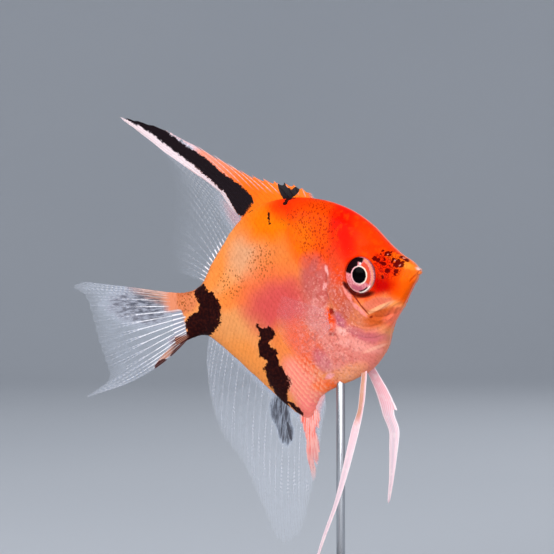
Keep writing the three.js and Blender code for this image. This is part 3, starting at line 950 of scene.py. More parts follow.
    def mottled(self, shop: Shop, place: Wire, tint: Wire) -> Wire:
        """Adds pale and dusky mottling, strongest on the pink breast and behind the gill."""
        flat = shop.flattened(place)
        front = shop.patch(flat, self.breast, 0.5)
        crown = shop.patch(flat, self.crown, 0.4)
        pale = shop.noise(place, 0.45, detail=4.0).step(0.50, 0.68)
        dusky = shop.noise(shop.vector("ADD", place, (7.0, 3.0, 5.0)), 0.5, detail=4.0).step(0.50, 0.70)
        warm = shop.noise(shop.vector("ADD", place, (2.0, 9.0, 4.0)), 1.5, detail=5.0).step(0.50, 0.66)
        tint = shop.laid(
            tint, (self.pale, pale * front * 0.42), (self.dusky, dusky * front * 0.46),
            (self.warm, warm * crown * 0.34),
        )
        return shop.darkened(tint, self.dusk, dusky * 0.30)

    def edge(self, shop: Shop, place: Wire) -> Wire:
        """Where the painted rim light lies: a thin pale line along the fish's outline."""
        x, y, z = shop.parts(place)
        free = shop.largest(x.step(31.0, 33.0), z.step(0.0, -1.5) * x.step(8.0, 10.0) * 0.6)
        return shop.math("ABSOLUTE", y).step(0.42, 0.10) * free

    def pepper(self, shop: Shop, place: Wire, flat: Wire) -> Wire:
        """Small dark dots on the upper flank, largest towards the head."""
        tall = shop.vector("MULTIPLY", place, (1.0, 1.0, self.pepper_squash))
        inputs = {"Vector": tall, "Scale": 1 / self.pepper_gap, "Randomness": 1.0}
        distance = shop.node("ShaderNodeTexVoronoi", {"feature": "F1"}, inputs, output="Distance")
        chosen = shop.node("ShaderNodeTexVoronoi", {"feature": "F1"}, inputs, output="Color")
        keep, size, _ = shop.parts(chosen)
        forward = shop.parts(place)[0].step(*self.red_from)
        dots = (distance + size * 0.16 - forward * 0.09).step(0.50, 0.32)
        return dots * keep.step(0.10, 0.20) * shop.patches(flat, PEPPER_AREAS, 0.35)

    def moist(self, shop: Shop, tint: Wire, roughness: Wire, normal: Wire) -> bpy.types.Material:
        """Ends a tree in the moist gloss."""
        return shop.shade(
            Base_Color=tint, Roughness=roughness, Specular_IOR_Level=self.specular,
            Specular_Tint=colour(*self.gloss), Coat_Weight=self.coat, Coat_Roughness=self.coat_roughness,
            Normal=normal,
        )

    def skin(self) -> bpy.types.Material:
        """The finish of bare skin."""
        shop = Shop("moist_skin")
        place = shop.fish_place()
        tint, black = self.markings(shop, place)
        grain = shop.noise(place, 0.16, detail=3.0)
        pits = shop.noise(place, 0.5, detail=2.0)
        normal = shop.bumped(grain * 0.4 + pits * 0.6, 0.35, 0.00005)
        return self.moist(shop, tint, black * 0.10 + pits * 0.12 + (self.roughness - 0.06), normal)

    def scales(self) -> bpy.types.Material:
        """The finish of the scales: the skin's markings, a pale rear edge and fine growth rings."""
        shop = Shop("moist_scales")
        place = shop.fish_place()
        tint, black = self.markings(shop, place)
        along, across = shop.map_place("Plate")
        tone = shop.node("ShaderNodeAttribute", {"attribute_name": "tone"}, output="Fac")
        flat = shop.flattened(place)
        front = shop.patch(flat, self.plate_front, 0.5)
        keel = shop.patch(flat, self.keel, 0.3)
        tint = shop.laid(
            tint,
            (self.plate_light, tone.step(0.50, 0.95) * front * 0.20 * (1 - black)),
            (self.dusky, tone.step(0.40, 0.05) * front * 0.24),
            (self.plate_edge, along.step(0.62, 0.95) * (1 - black) * (keel * 0.40 + front * 0.10)),
        )
        dusk = (along.step(0.70, 0.96) * 0.30 + tone * 0.18) * (1 - keel)
        rings = shop.math("SINE", along * 60.0)
        fan = shop.math("SINE", across * 40.0)
        normal = shop.bumped(rings * 0.6 + fan * 0.4, 0.25, 0.00001)
        roughness = shop.noise(place, 1.6, detail=1.0) * 0.14 + (self.roughness - 0.09)
        return self.moist(shop, shop.darkened(tint, self.plate_dusk, dusk), roughness, normal)


# ---------------------------------------------------------------- skin


@dataclass(frozen=True)
class Eye:
    """Place and half axes of an eyeball, and of the opening that shows it."""

    x: float = 37.85
    z: float = 0.85
    out: float = 2.55
    half_long: float = 3.25
    half_deep: float = 1.7
    half_high: float = 3.64
    orbit_x: float = 38.12
    orbit_z: float = 0.87
    orbit_long: float = 2.84
    orbit_high: float = 3.40

    def orbit_share(self, x: np.ndarray, z: np.ndarray) -> np.ndarray:
        """How far places lie from the eye's middle, 1 on the orbit's edge."""
        return ellipse_share(x, z, (self.orbit_x, self.orbit_z), (self.orbit_long, self.orbit_high))


EYE = Eye()


@dataclass(frozen=True)
class HeadRelief:
    """Folds, edges and openings of the head, as lines in the fish's plane and heights in millimetres."""

    cover_edge: Line = Line((
        (33.4, 6.4), (32.6, 4.2), (32.0, 1.8), (31.5, -0.8), (31.8, -3.0), (32.3, -5.2), (32.6, -6.9),
        (33.8, -8.4), (35.7, -9.7), (37.8, -10.5), (40.0, -10.3), (42.4, -9.0), (44.0, -7.4),
    ))
    cheek_fold: Line = Line(((37.1, -3.8), (38.3, -5.5), (39.8, -6.1), (41.2, -5.5), (42.9, -4.6)))
    cheek_groove: Line = Line((
        (34.9, 0.3), (35.4, -1.2), (36.3, -2.9), (37.3, -4.5), (38.4, -6.3), (40.4, -7.2), (43.0, -6.7),
    ))
    mouth: Line = Line(((49.2, 0.2), (48.4, -0.3), (47.7, -0.9), (47.0, -1.4), (46.4, -2.0)))
    lip_fold: Line = Line(((46.9, 1.5), (45.8, 0.2), (45.0, -1.4), (44.8, -2.8), (45.3, -3.9)))
    jaw_fold: Line = Line(((45.9, -3.2), (44.8, -4.6), (43.6, -5.8), (42.6, -7.4)))
    cover_seam: Line = Line(((31.9, -4.8), (33.6, -6.2), (35.6, -7.7), (38.4, -8.7), (41.2, -8.3)))
    nostril: tuple[float, float] = (44.1, 2.5)
    fin_lobe: tuple[float, float] = (31.3, -6.1)
    hip: tuple[float, float] = (34.4, -15.2)
    socket_depth: float = 1.7
    ray_gap: float = 0.78

    def height(self, x: np.ndarray, z: np.ndarray) -> np.ndarray:
        """How far the skin stands out from the plain flank.

        Args:
            x: Places along the fish.
            z: Places up it.

        Returns:
            The height at each place.
        """
        places = np.stack([x, z], axis=1)
        total = self.cover(places) + self.cheek(places) + self.mouth_parts(places)
        total += self.orbit(x, z) + self.small_parts(x, z)
        return total

    def cover(self, places: np.ndarray) -> np.ndarray:
        """The gill cover's raised edge, the slit behind it and the rays of its lower membrane."""
        inside, share = self.cover_edge.measure(places)
        open_part = between(share, 0.14, 0.9)
        bold = 1 - 0.8 * smooth_step(0.40, 0.58, share)
        step = 0.26 * smooth_step(-0.10, 0.10, inside) * np.exp(-np.maximum(inside, 0) / 3.4) * bold
        lip = 0.10 * bump(inside, 0.22, 0.20) * bold
        slit = -0.34 * bump(inside, -0.14, 0.17) * bold
        lower = smooth_step(0.45, 0.58, share) * smooth_step(0.3, 0.6, inside) * smooth_step(3.2, 2.2, inside)
        rays = 0.06 * lower * np.cos(inside * FULL_TURN / self.ray_gap)
        seam_gap, seam_share = self.cover_seam.measure(places)
        seam = -0.10 * bump(seam_gap, 0, 0.16) * between(seam_share, 0.1, 0.9)
        return open_part * (step + lip + slit) + rays + seam

    def cheek(self, places: np.ndarray) -> np.ndarray:
        """The cheek's soft lobe and the bony groove and ridge that bound it."""
        above, share = self.cheek_fold.measure(places)
        lobe = 0.34 * smooth_step(-0.16, 0.14, above) * np.exp(-np.maximum(above, 0) / 1.3)
        inner, place = self.cheek_groove.measure(places)
        groove_and_ridge = 0.16 * bump(inner, -0.52, 0.30) - 0.22 * bump(inner, 0, 0.17)
        return lobe * between(share, 0.22, 0.78) + groove_and_ridge * between(place, 0.12, 0.85)

    def mouth_parts(self, places: np.ndarray) -> np.ndarray:
        """The slit of the mouth, both lips, and the folds of the jaws."""
        above, share = self.mouth.measure(places)
        slit = -0.24 * bump(above, 0, 0.10)
        lips = 0.12 * bump(above, 0.40, 0.24) + 0.10 * bump(above, -0.38, 0.24)
        total = (slit + lips) * smooth_step(1.0, 0.86, share)
        for fold, depth, width in ((self.lip_fold, 0.06, 0.22), (self.jaw_fold, 0.08, 0.20)):
            gap, place = fold.measure(places)
            total += between(place, 0.2, 0.8) * depth * (bump(gap, 0.3, 0.3) - bump(gap, 0, width))
        return total

    def orbit(self, x: np.ndarray, z: np.ndarray) -> np.ndarray:
        """The eye's socket with its soft raised rim."""
        share = EYE.orbit_share(x, z)
        socket = -self.socket_depth * smooth_step(1.0, 0.88, share)
        rim = 0.13 * bump(share, 1.07, 0.06)
        crease = -0.10 * bump(share, 1.24, 0.08) * smooth_step(EYE.z, EYE.z - 2.0, z)
        return socket + rim + crease

    def small_parts(self, x: np.ndarray, z: np.ndarray) -> np.ndarray:
        """The nostril and the fleshy roots of the paired fins."""
        hole = np.hypot(x - self.nostril[0], z - self.nostril[1])
        nostril = 0.09 * bump(hole, 0.36, 0.13) - 0.34 * bump(hole, 0, 0.19)
        lobe = ellipse_share(x, z, self.fin_lobe, (0.75, 2.1))
        hip = ellipse_share(x, z, self.hip, (1.3, 1.1))
        return nostril + 0.34 * smooth_step(1.25, 0.45, lobe) + 0.15 * smooth_step(1.3, 0.3, hip)


class Surface:
    """The finished skin as a grid of points, with columns along the fish and rows round it."""

    def __init__(self, points: np.ndarray) -> None:
        """Keeps the grid, whose first and last rows lie in one place, and finds its normals.

        Args:
            points: The grid, as columns x rows x 3, in fish millimetres.
        """
        self.points = points
        self.columns, self.rows = points.shape[0] - 1, points.shape[1] - 1
        self.normals = self.grid_normals(points)
        middle = (points.min(axis=1) + points.max(axis=1)) / 2
        run = np.concatenate([[0], np.cumsum(np.linalg.norm(np.diff(middle, axis=0), axis=1))])
        self.run = run / run[-1]

    @staticmethod
    def grid_normals(points: np.ndarray) -> np.ndarray:
        """Unit normals of a grid that closes on itself row-wise."""
        along = np.gradient(points, axis=0)
        ringed = np.concatenate([points[:, -2:-1], points, points[:, 1:2]], axis=1)
        around = (ringed[:, 2:] - ringed[:, :-2]) / 2
        normals = np.cross(along, around)
        length = np.linalg.norm(normals, axis=2, keepdims=True)
        normals = normals / np.maximum(length, 1e-9)
        column, row = len(points) // 2, points.shape[1] // 4
        outward = normals[column, row, 1] * points[column, row, 1]
        return normals * (1 if outward > 0 else -1)

    def sample(self, grid: np.ndarray, column: np.ndarray, row: np.ndarray) -> np.ndarray:
        """Reads a grid between its points; rows wrap round the fish."""
        column = np.clip(column, 0, self.columns - 1e-6)
        row = np.mod(row, self.rows)
        i, j = column.astype(int), row.astype(int)
        s, t = (column - i)[..., None], (row - j)[..., None]
        near = grid[i, j] * (1 - t) + grid[i, j + 1] * t
        far = grid[i + 1, j] * (1 - t) + grid[i + 1, j + 1] * t
        return near * (1 - s) + far * s

    def bake_place(self, column: np.ndarray, row: np.ndarray) -> np.ndarray:
        """Where a place lies on the skin's unwrap, a square cut open along the belly."""
        run = np.interp(column, np.arange(self.columns + 1), self.run)
        margin = 0.02
        return np.stack([run, np.clip(row / self.rows, 0, 1)], axis=-1) * (1 - 2 * margin) + margin

    def find(self, x: np.ndarray, z: np.ndarray, side: Side) -> tuple[np.ndarray, np.ndarray, np.ndarray]:
        """Finds places of one flank by their x and z.

        Args:
            x: Places along the fish.
            z: Places up it.
            side: The flank.

        Returns:
            Column, row and how far the place lies off the flank in the fish's plane.
        """
        half = self.rows // 2
        rows = slice(0, half + 1) if side is Side.RIGHT else slice(half, self.rows + 1)
        flank = self.points[:, rows][..., [0, 2]]
        flat = flank.reshape(-1, 2)
        nearest = np.array([np.argmin((flat[:, 0] - a) ** 2 + (flat[:, 1] - b) ** 2) for a, b in zip(x, z)])
        i, j = np.divmod(nearest, flank.shape[1])
        target = np.stack([x, z], axis=1)
        away = np.linalg.norm(target - flat[nearest], axis=1)
        along = np.gradient(flank, axis=0)[i, j]
        around = np.gradient(flank, axis=1)[i, j]
        gap = target - flat[nearest]
        det = along[:, 0] * around[:, 1] - along[:, 1] * around[:, 0]
        det = np.where(np.abs(det) < 1e-9, 1e-9, det)
        di = (gap[:, 0] * around[:, 1] - gap[:, 1] * around[:, 0]) / det
        dj = (along[:, 0] * gap[:, 1] - along[:, 1] * gap[:, 0]) / det
        return i + np.clip(di, -1, 1), j + rows.start + np.clip(dj, -1, 1), away

    def frame_at(self, column: np.ndarray, row: np.ndarray) -> tuple[np.ndarray, np.ndarray, np.ndarray]:
        """The surface's two grid directions and its normal at places between grid points."""
        step = 0.5
        along = self.sample(self.points, column + step, row) - self.sample(self.points, column - step, row)
        around = self.sample(self.points, column, row + step) - self.sample(self.points, column, row - step)
        return along, around, self.sample(self.normals, column, row)


@dataclass
class Skin:
    """The one skin over trunk, tail stalk, head, jaw and gill covers."""

    columns: int = 226
    half_rows: int = 176
    depth: float = 0.12
    ridge_half: float = 0.42
    trunk_step: float = 0.36
    head_step: float = 0.125
    head_from: float = 29.5
    cap_columns: int = 5
    lip_reach: float = 0.45
    tail_reach: float = 0.3
    lips_from: tuple[float, float] = (45.8, 47.2)
    back_dip: float = 0.5
    dip_start: tuple[float, float] = (4.0, 6.5)
    dip_end: tuple[float, float] = (13.0, 9.5)
    relief: HeadRelief = HeadRelief()

    def flank(self, along: np.ndarray, height: np.ndarray, sign: np.ndarray) -> np.ndarray:
        """Points of the plain flank, by their share along the fish and from belly to back.

        Args:
            along: From 0 at the tail to 1 at the lips.
            height: From -1 at the belly to 1 at the back.
            sign: Which side, -1 or 1.

        Returns:
            The points in fish millimetres.
        """
        back_x, back_z, belly_x, belly_z, half, taper = np.moveaxis(row_at(BODY_ROWS, along), -1, 0)
        ridge = np.minimum(self.ridge_half, half / 2)
        level = np.abs(height)
        crown = (half - ridge) * (1 - level**2.2) ** taper
        y = crown + (ridge - self.depth) * np.sqrt(np.maximum(0, 1 - level**12))
        dip = self.back_dip * smooth_step(*self.dip_start, back_x) * smooth_step(*self.dip_end, back_x)
        inset = 2 * (self.depth + dip * np.maximum(height, 0) ** 4)
        stretch = height * (1 - inset / np.hypot(back_x - belly_x, back_z - belly_z))
        x = (back_x + belly_x) / 2 + (back_x - belly_x) / 2 * stretch
        z = (back_z + belly_z) / 2 + (back_z - belly_z) / 2 * stretch
        return np.stack([x, sign * y, z], axis=-1)

    def column_shares(self) -> np.ndarray:
        """Places of the columns along the fish, close together on the head."""
        fine = np.linspace(0, 1, 2400)
        rows = row_at(BODY_ROWS, fine)
        x = (rows[:, 0] + rows[:, 2]) / 2
        blend = smooth_step(self.head_from - 3, self.head_from + 3, x)
        step = self.trunk_step + (self.head_step - self.trunk_step) * blend
        weight = np.concatenate([[0], np.cumsum(np.abs(np.diff(x)) / step[1:])])
        return np.interp(np.linspace(0, weight[-1], self.columns + 1), weight, fine)

    def ring_shares(self, around: np.ndarray) -> tuple[np.ndarray, np.ndarray]:
        """Height and side for places round the fish, from the belly up the right side and down the left."""
        rising = np.where(around < 0.5, 4 * around - 1, 3 - 4 * around)
        height = 0.45 * rising + 0.55 * np.sin(rising * math.pi / 2)
        return np.clip(height, -1, 1), np.where(around < 0.5, -1.0, 1.0)

    def grid(self) -> np.ndarray:
        """The skin's points with all its relief, as columns x rows x 3."""
        around = np.linspace(0, 1, 2 * self.half_rows + 1)
        height, sign = self.ring_shares(around)
        share, level = np.meshgrid(self.column_shares(), height, indexing="ij")
        points = self.flank(share, level, np.broadcast_to(sign, share.shape))
        points = self.capped(points)
        normals = Surface.grid_normals(points)
        flat = points.reshape(-1, 3)
        relief = self.relief.height(flat[:, 0], flat[:, 2]).reshape(points.shape[:2])
        edge = np.broadcast_to(smooth_step(1.0, 0.93, np.abs(height)), relief.shape)
        lips = smooth_step(*self.lips_from, points[..., 0])
        points = points + normals * (relief * np.maximum(edge, lips))[..., None]
        points[:, -1] = points[:, 0]
        return points

    def capped(self, points: np.ndarray) -> np.ndarray:
        """Closes both ends with rings that shrink to their middle."""
        caps = []
        turns = np.linspace(0, math.pi / 2, self.cap_columns + 1)[1:]
        for ring, ahead, reach in ((points[-1], 1, self.lip_reach), (points[0], -1, self.tail_reach)):
            middle = (ring.min(axis=0) + ring.max(axis=0)) / 2
            if ahead < 0:
                middle = np.stack([ring[:, 0], np.zeros(len(ring)), ring[:, 2]], axis=1)
            rings = [middle + (ring - middle) * math.cos(t) + np.array([ahead * reach * math.sin(t), 0, 0])
                     for t in turns]
            caps.append(np.stack(rings if ahead > 0 else rings[::-1]))
        return np.concatenate([caps[1], points, caps[0]])

    def build(self, paint: SkinPaint) -> Surface:
        """Makes the skin and hides the imported nodes that it stands for.

        Args:
            paint: The skin's finish.

        Returns:
            The skin as a grid, for what grows on it.
        """
        surface = Surface(self.grid())
        piece, shares = sheet("skin", surface.columns, surface.rows)
        column = np.rint(shares[:, 0] * surface.columns).astype(int)
        row = np.rint(shares[:, 1] * surface.rows).astype(int)
        move_points(piece, FISH.place(surface.points[column, row]))
        paint_map(piece, BAKE_MAP, surface.bake_place(column.astype(float), row.astype(float)))
        weld(piece)
        smooth(piece)
        flesh = ("trunk", "tail_stalk", "head", "lower_jaw", "gill_cover_left", "gill_cover_right")
        finish_piece(piece, paint.skin(), "skin", *flesh)
        return surface


# ---------------------------------------------------------------- scales


class Region(Enum):
    """A part of the flank with scales of one size: its name, the scale's pitch along and across."""

    FLANK = ("flank", 0.96, 0.80)
    BREAST = ("breast", 0.74, 0.62)
    CHEEK = ("cheek", 0.60, 0.50)

    @property
    def pitch(self) -> tuple[float, float]:
        """Pitch along the fish and across it, in millimetres."""
        return self.value[1], self.value[2]


@dataclass
class ScaleCoat:
    """Thin overlapping scales over the skin, each a closed plate."""

    surface: Surface
    relief: HeadRelief = HeadRelief()
    long: float = 1.62
    wide: float = 1.30
    thickness: float = 0.030
    front_lift: float = -0.030
    rear_lift: float = 0.085
    crown: float = 0.012
    jitter: float = 0.05
    size_range: tuple[float, float] = (0.96, 1.04)
    tilt_range: tuple[float, float] = (0.85, 1.15)
    patch: float = 0.003
    seed: int = 4
    field_x: tuple[float, float] = (-2.0, 47.0)
    field_z: tuple[float, float] = (-24.0, 19.0)
    brow: float = 5.6

    def template(self) -> tuple[bpy.types.Object, np.ndarray]:
        """Makes one scale as a rounded plate.

        Returns:
            The plate, and its points with x from front to rear, y across and z up, x and y from -1 to 1.
        """
        piece, shares = sheet("scale_template", 5, 4)
        s, t = (shares * 2 - 1).T
        round_x = s * np.sqrt(1 - t**2 / 2)
        round_y = t * np.sqrt(1 - s**2 / 2)
        move_points(piece, np.stack([round_x, round_y, np.zeros(len(s))], axis=1))
        modify(piece, "SOLIDIFY", thickness=1.0, offset=-1.0)
        return piece, coordinates(piece)

    def wanted(self, x: np.ndarray, z: np.ndarray, region: Region) -> np.ndarray:
        """Which places a region's scales grow on."""
        inside, share = self.relief.cover_edge.measure(np.stack([x, z], axis=1))
        covered = (inside > 0) & (x > 30.5)
        forehead = (z > self.brow) & (x > 31.0)
        clear_eye = EYE.orbit_share(x, z) > 1.32
        lobe = ellipse_share(x, z, self.relief.fin_lobe, (0.8, 2.1)) > 1.0
        if region is Region.CHEEK:
            behind_mouth = x < 43.0 - 0.25 * np.maximum(z, 0)
            grooves = [self.relief.cheek_groove, self.relief.cheek_fold, self.relief.cover_seam]
            free = np.min([np.abs(g.measure(np.stack([x, z], axis=1))[0]) for g in grooves], axis=0) > 0.30
            return covered & (inside > 0.42) & ~forehead & clear_eye & behind_mouth & free & (z < self.brow)
        breast = (x > 28.2) & (z < -9.0) & ~covered
        if region is Region.BREAST:
            return breast & (inside < -0.5)
        nape = forehead & (x < 38.6 - 0.35 * (z - self.brow)) & clear_eye
        trunk = ~covered & ~breast & ((inside < -0.45) | (share < 0.02)) & ~forehead & (x < 33.5) & lobe
        return (trunk | nape) & ((x > 0.7) | ((x > -0.6) & (z > 0.9)))

    def roots(self, region: Region, side: Side, rng: np.random.Generator) -> tuple[np.ndarray, np.ndarray]:
        """Places a staggered field of roots on one flank.

        Args:
            region: The part of the flank.
            side: The flank.
            rng: Source of the small unevenness.

        Returns:
            Column and row of each root.
        """
        along, across = region.pitch
        fields = []
        for index, z in enumerate(np.arange(*self.field_z, across)):
            x = np.arange(*self.field_x, along) + (index % 2) * along / 2
            fields.append(np.stack([x, np.full(len(x), z)], axis=1))
        places = np.concatenate(fields)
        places += rng.uniform(-1, 1, places.shape) * self.jitter * along
        places = places[self.wanted(places[:, 0], places[:, 1], region)]
        column, row, away = self.surface.find(places[:, 0], places[:, 1], side)
        half = self.surface.rows / 2
        off_ridge = np.minimum(np.abs(row - half), np.minimum(row, self.surface.rows - row)) > 1.5
        kept = (away < 0.3) & off_ridge
        return column[kept], row[kept]

    def build(self, region: Region, side: Side, material: bpy.types.Material) -> None:
        """Makes one region's scales on one side.

        Args:
            region: The part of the flank.
            side: The flank.
            material: The scales' finish.
        """
        rng = np.random.default_rng(self.seed + list(Region).index(region) * 2 + (side is Side.LEFT))
        column, row = self.roots(region, side, rng)
        template, shape = self.template()
        along, around, normal = self.surface.frame_at(column, row)
        lie = self.lie(along, normal)
        cross = np.cross(normal, lie)
        pitch_along, pitch_across = region.pitch
        size = rng.uniform(*self.size_range, len(column))
        step_along = (shape[:, 0][None] + 0.55) * (self.long * pitch_along / 2) * size[:, None]
        step_across = shape[:, 1][None] * (self.wide * pitch_across / 1.45) * size[:, None]
        offset = step_along[..., None] * lie[:, None] + step_across[..., None] * cross[:, None]
        di, dj = self.grid_steps(offset, along, around)
        where_column, where_row = column[:, None] + di, row[:, None] + dj
        ground = self.surface.sample(self.surface.points, where_column, where_row)
        up = self.surface.sample(self.surface.normals, where_column, where_row)
        rise = (shape[:, 0] + 1) / 2
        tilt = rng.uniform(*self.tilt_range, len(column))[:, None]
        strength = min(1.0, pitch_along / 0.9)
        lift = (self.front_lift + (self.rear_lift - self.front_lift) * rise[None] * tilt) * strength
        lift = lift - self.crown * shape[:, 1][None] ** 2
        lift = lift + shape[:, 2][None] * self.thickness
        points = ground + up * lift[..., None]
        name = f"scales_{region.value[0]}_{side.tag}"
        piece = repeat(name, template, FISH.place(points.reshape(-1, 3)).reshape(points.shape))
        plate = np.tile(shape[:, :2] / 2 + 0.5, (len(column), 1))
        root = np.repeat(self.surface.bake_place(column, row), len(shape), axis=0)
        paint_map(piece, BAKE_MAP, root + (plate - 0.5) * self.patch)
        paint_map(piece, "Plate", plate)
        attribute(piece, "tone", np.repeat(rng.uniform(0, 1, len(column)), len(shape)))
        smooth(piece, 40)
        finish_piece(piece, material, "skin")

    def lie(self, along: np.ndarray, normal: np.ndarray) -> np.ndarray:
        """The way the scales point: tailwards, between the flank's own lines and level."""
        way = 0.6 * unit(-along) + 0.4 * np.array([-1.0, 0.0, 0.0])
        return unit(way - normal * np.sum(way * normal, axis=1, keepdims=True))

    def grid_steps(self, offset: np.ndarray, along: np.ndarray,
                   around: np.ndarray) -> tuple[np.ndarray, np.ndarray]:
        """Turns steps over the surface into steps of columns and rows.

        Args:
            offset: The steps, as roots x points x 3.
            along: The way of one column at each root.
            around: The way of one row at each root.

        Returns:
            How many columns and rows each step goes.
        """
        products = ((along * along), (along * around), (around * around))
        aa, ab, bb = (product.sum(1)[:, None] for product in products)
        det = aa * bb - ab * ab
        on_a = (offset * along[:, None]).sum(2)
        on_b = (offset * around[:, None]).sum(2)
        return (on_a * bb - on_b * ab) / det, (on_b * aa - on_a * ab) / det


# ---------------------------------------------------------------- fins


@dataclass(frozen=True)
class Ray:
    """One fin ray: its place across the fan, and what kind it is."""

    across: float
    spine: bool
    spread: float = 0.0


@dataclass
class FanFin:
    """A fan of rays under a thin membrane; across and outward are shares of the fan and of a ray."""

    name: str
    node: str
    rows: np.ndarray
    spines: int
    spine_share: float
    soft_rays: int
    columns: int = 150
    depth_rows: int = 40
    membrane: float = 0.10
    root_depth: float = 1.6
    spine_radius: float = 0.15
    soft_radius: float = 0.10
    tip_radius: float = 0.030
    spine_notch: float = 0.10
    soft_notch: float = 0.035
    branch_from: float = 0.42
    bead: float = 1.0
    bead_swell: float = 0.16
    branch_share: float = 0.72
    branch_end: float = 0.985
    wave_height: float = 0.4
    tube_sides: int = 6
    tube_steps: int = 26

    def rays(self) -> list[Ray]:
        """All rays from the first to the last."""
        gap = (1 - self.spine_share) / self.soft_rays
        hard = [Ray(self.spine_share * (i + 0.5) / self.spines, True) for i in range(self.spines)]
        soft = [Ray(self.spine_share + gap * (i + 0.5), False, gap * 0.27) for i in range(self.soft_rays)]
        return hard + soft

    def middle(self, across: np.ndarray, outward: np.ndarray) -> np.ndarray:
        """Points of the fin's middle sheet, across the rays and out along them."""
        root_x, root_z, tip_x, tip_z, bow = np.moveaxis(row_at(self.rows, np.clip(across, 0, 1)), -1, 0)
        way = unit(np.stack([tip_x - root_x, tip_z - root_z], axis=-1))
        push = bow * 4 * outward * (1 - outward)
        x = root_x + (tip_x - root_x) * outward + way[..., 1] * push
        z = root_z + (tip_z - root_z) * outward - way[..., 0] * push
        y = self.wave_height * np.sin(across * math.pi * 3 + 0.6) * np.maximum(outward, 0) ** 1.6
        return np.stack([x, y, z], axis=-1)

    def length(self, across: np.ndarray) -> np.ndarray:
        """Length of a ray at a place across the fan."""
        rows = row_at(self.rows, np.clip(across, 0, 1))
        return np.hypot(rows[..., 2] - rows[..., 0], rows[..., 3] - rows[..., 1])

    def edge(self, across: np.ndarray) -> np.ndarray:
        """How far out the membrane reaches: to the rays' tips, and less between them."""
        places = np.array([ray.across for ray in self.rays()])
        after = np.clip(np.searchsorted(places, across), 1, len(places) - 1)
        share = np.clip((across - places[after - 1]) / (places[after] - places[after - 1]), 0, 1)
        notch = np.where(across < self.spine_share, self.spine_notch, self.soft_notch)
        return 1.0 - notch * np.sin(share * math.pi) ** 0.8

    def sheet_piece(self) -> bpy.types.Object:
        """Makes the membrane as a thin closed sheet."""
        piece, shares = sheet(f"{self.name}_membrane", self.columns, self.depth_rows)
        across, out = shares.T
        root = -self.root_depth / self.length(across)
        outward = root + (self.edge(across) - root) * out
        move_points(piece, FISH.place(self.middle(across, outward)))
        paint_map(piece, "Fan", np.stack([across, outward], axis=1))
        modify(piece, "SOLIDIFY", thickness=self.membrane * MM, offset=0.0)
        smooth(piece, 60)
        return piece

    def branches(self) -> list[tuple[Ray, float, float, float]]:
        """Every stick of the fan: its ray, where it starts and ends, and its way to the side."""
        sticks = []
        for ray in self.rays():
            if ray.spine:
                sticks.append((ray, 0.0, 1.0, 0.0))
                continue
            sticks.append((ray, 0.0, self.branch_from + 0.02, 0.0))
            sticks.extend((ray, self.branch_from, self.branch_end, side) for side in (-1.0, 1.0))
        return sticks

    def stick_points(self, shape: np.ndarray,
                     stick: tuple[Ray, float, float, float]) -> tuple[np.ndarray, np.ndarray, np.ndarray]:
        """Bends the template tube along one stick.

        Args:
            shape: The template's points: x and y round it, z along it from 0 to 1.
            stick: One of branches().

        Returns:
            The points, their places on the fan and their distance along the ray in beads.
        """
        ray, start, end, side = stick
        length = float(self.length(np.array(ray.across)))
        root = -self.root_depth / length if start == 0 else start
        outward = root + (end - root) * shape[:, 2]
        parting = np.clip((outward - self.branch_from) / (1 - self.branch_from), 0, 1) ** 0.8
        across = ray.across + side * ray.spread * parting
        centre = self.middle(across, outward)
        way = unit(self.middle(across, outward + 0.01) - centre)
        sideways = np.array([0.0, 1.0, 0.0])
        flat = unit(np.cross(way, sideways))
        beads = outward * length / self.bead
        radius = self.radius(ray, side, outward, beads)[:, None]
        points = centre + flat * shape[:, :1] * radius + sideways * shape[:, 1:2] * radius * 1.1
        return points, np.stack([across, outward], axis=1), beads

    def radius(self, ray: Ray, side: float, outward: np.ndarray, beads: np.ndarray) -> np.ndarray:
        """A stick's radius: tapered, and beaded where it is a soft ray."""
        left = 1 - np.clip(outward, 0, 1)
        if ray.spine:
            return self.tip_radius + (self.spine_radius - self.tip_radius) * left**0.7
        root = self.soft_radius * (self.branch_share if side else 1.0)
        taper = self.tip_radius + (root - self.tip_radius) * left**0.8
        return taper * (1 + self.bead_swell * np.cos(beads * FULL_TURN) ** 3)

    def ray_piece(self) -> bpy.types.Object:
        """Makes all the rays as one joined piece."""
        deselect()
        bpy.ops.mesh.primitive_cylinder_add(
            vertices=self.tube_sides, radius=1, depth=1, end_fill_type="TRIFAN")
        template = named(f"{self.name}_ray_template")
        for share in np.arange(1, self.tube_steps) / self.tube_steps:
            edit(template, lambda: bpy.ops.mesh.bisect(plane_co=(0, 0, share - 0.5), plane_no=(0, 0, 1)))
        shape = coordinates(template)
        shape[:, 2] += 0.5
        made = [self.stick_points(shape, stick) for stick in self.branches()]
        points = np.stack([FISH.place(each[0]) for each in made])
        piece = repeat(f"{self.name}_rays", template, points)
        paint_map(piece, "Fan", np.concatenate([each[1] for each in made]))
        attribute(piece, "bead", np.concatenate([each[2] for each in made]))
        smooth(piece, 50)
        return piece

    def build(self, paint: "FinPaint") -> None:
        """Makes the fin's membrane and rays."""
        finish_piece(self.sheet_piece(), paint.membrane(self.name), "fin", self.node)
        finish_piece(self.ray_piece(), paint.rays(self.name), "fin")


